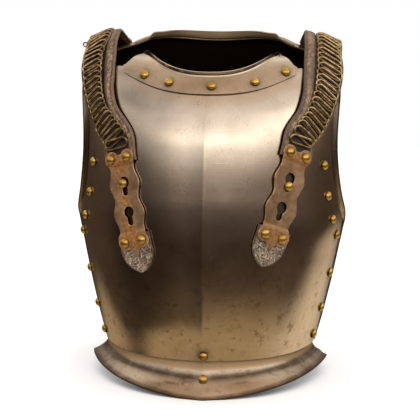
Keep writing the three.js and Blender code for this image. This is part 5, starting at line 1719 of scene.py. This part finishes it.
def surroundings():
    """The room as the steel mirrors it, and plain white for the camera.

    In front a bright warm sky fades to the left and to a dark band below the horizon. The table
    shows low down, and reaches higher behind and to the right."""
    world = bpy.data.worlds.new("surroundings")
    bpy.context.scene.world = world
    world.use_nodes = True
    look = Nodes(world.node_tree)
    direction = look.add("TexCoord").outputs["Generated"]
    aside, behind, above = look.add("SeparateXYZ", Vector=direction).outputs
    share = look.span(above, -1.0, 1.0, 0.0, 1.0, "LINEAR")
    fade = look.span(aside, -0.15, -0.85, 1.0, 0.35)
    faded = look.add("CombineColor", i0=fade, i1=fade, i2=fade).outputs[0]
    front = look.mix(1.0, look.ramp(share, *SKY), faded, "MULTIPLY")
    room = look.mix(look.span(behind, 0.35, -0.25), look.ramp(share, *REAR_SKY), front)

    higher_behind = look.span(behind, -0.1, 0.85, -0.56, -0.26)
    table_top = look.maths("ADD", higher_behind, look.span(aside, -0.8, 0.8, -0.05, 0.03))
    soft = look.span(aside, -0.55, 0.1, 0.045, 0.13)
    table = look.span(look.maths("DIVIDE", look.maths("SUBTRACT", above, table_top), soft), 1.0, -1.0)
    lit_behind = look.mix(look.span(aside, -0.2, 0.7), (0.42, 0.31, 0.18), (0.76, 0.63, 0.44))
    lit = look.mix(look.span(behind, -0.5, 0.3), (0.42, 0.31, 0.17), lit_behind)
    room = look.mix(table, room, lit)
    camera = look.add("LightPath").outputs["Is Camera Ray"]
    colour = look.mix(camera, room, (1.0, 1.0, 1.0))
    look.add("OutputWorld", i0=look.add("Background", Color=colour, Strength=1.0).outputs[0])


def soft_box(name, place, target, size, power, colour):
    light = bpy.data.lights.new(name, "AREA")
    light.shape = "RECTANGLE"
    light.size, light.size_y = size
    light.energy = power
    light.color = colour
    obj = new_object(name, light)
    obj.location = place
    obj.rotation_euler = (Vector(target) - Vector(place)).to_track_quat("-Z", "Y").to_euler()
    obj.visible_glossy = False


def photo_camera():
    """The photo's camera: it looks at the middle of the object, a little from above and to one side."""
    camera = bpy.data.cameras.new("camera")
    camera.sensor_width = 36
    camera.lens = 120.07
    camera.shift_x, camera.shift_y = -0.0036, 0.0048
    obj = new_object("camera", camera)
    target = Vector((0, 0.01274, 0.2034))
    distance = 1.8
    turn, lift, tilt = (math.radians(angle) for angle in (3.5, 9, 0.6))
    away = Vector((math.cos(lift) * math.sin(turn), -math.cos(lift) * math.cos(turn), math.sin(lift)))
    aim = (-away).to_track_quat("-Z", "Y").to_matrix().to_4x4()
    roll = Matrix.Rotation(tilt, 4, "Z")
    obj.matrix_world = Matrix.Translation(target + away * distance) @ aim @ roll
    bpy.context.scene.camera = obj


# Stage, lights and camera
floor()
surroundings()
soft_box("key", (0.35, -1.3, 1.25), (0, 0, 0.25), (1.1, 0.8), 9, (1.0, 0.95, 0.88))
soft_box("fill", (-1.2, -0.9, 0.9), (0, 0, 0.2), (0.8, 0.8), 3, (1.0, 0.93, 0.85))
photo_camera()
bpy.context.scene.view_settings.view_transform = "Standard"
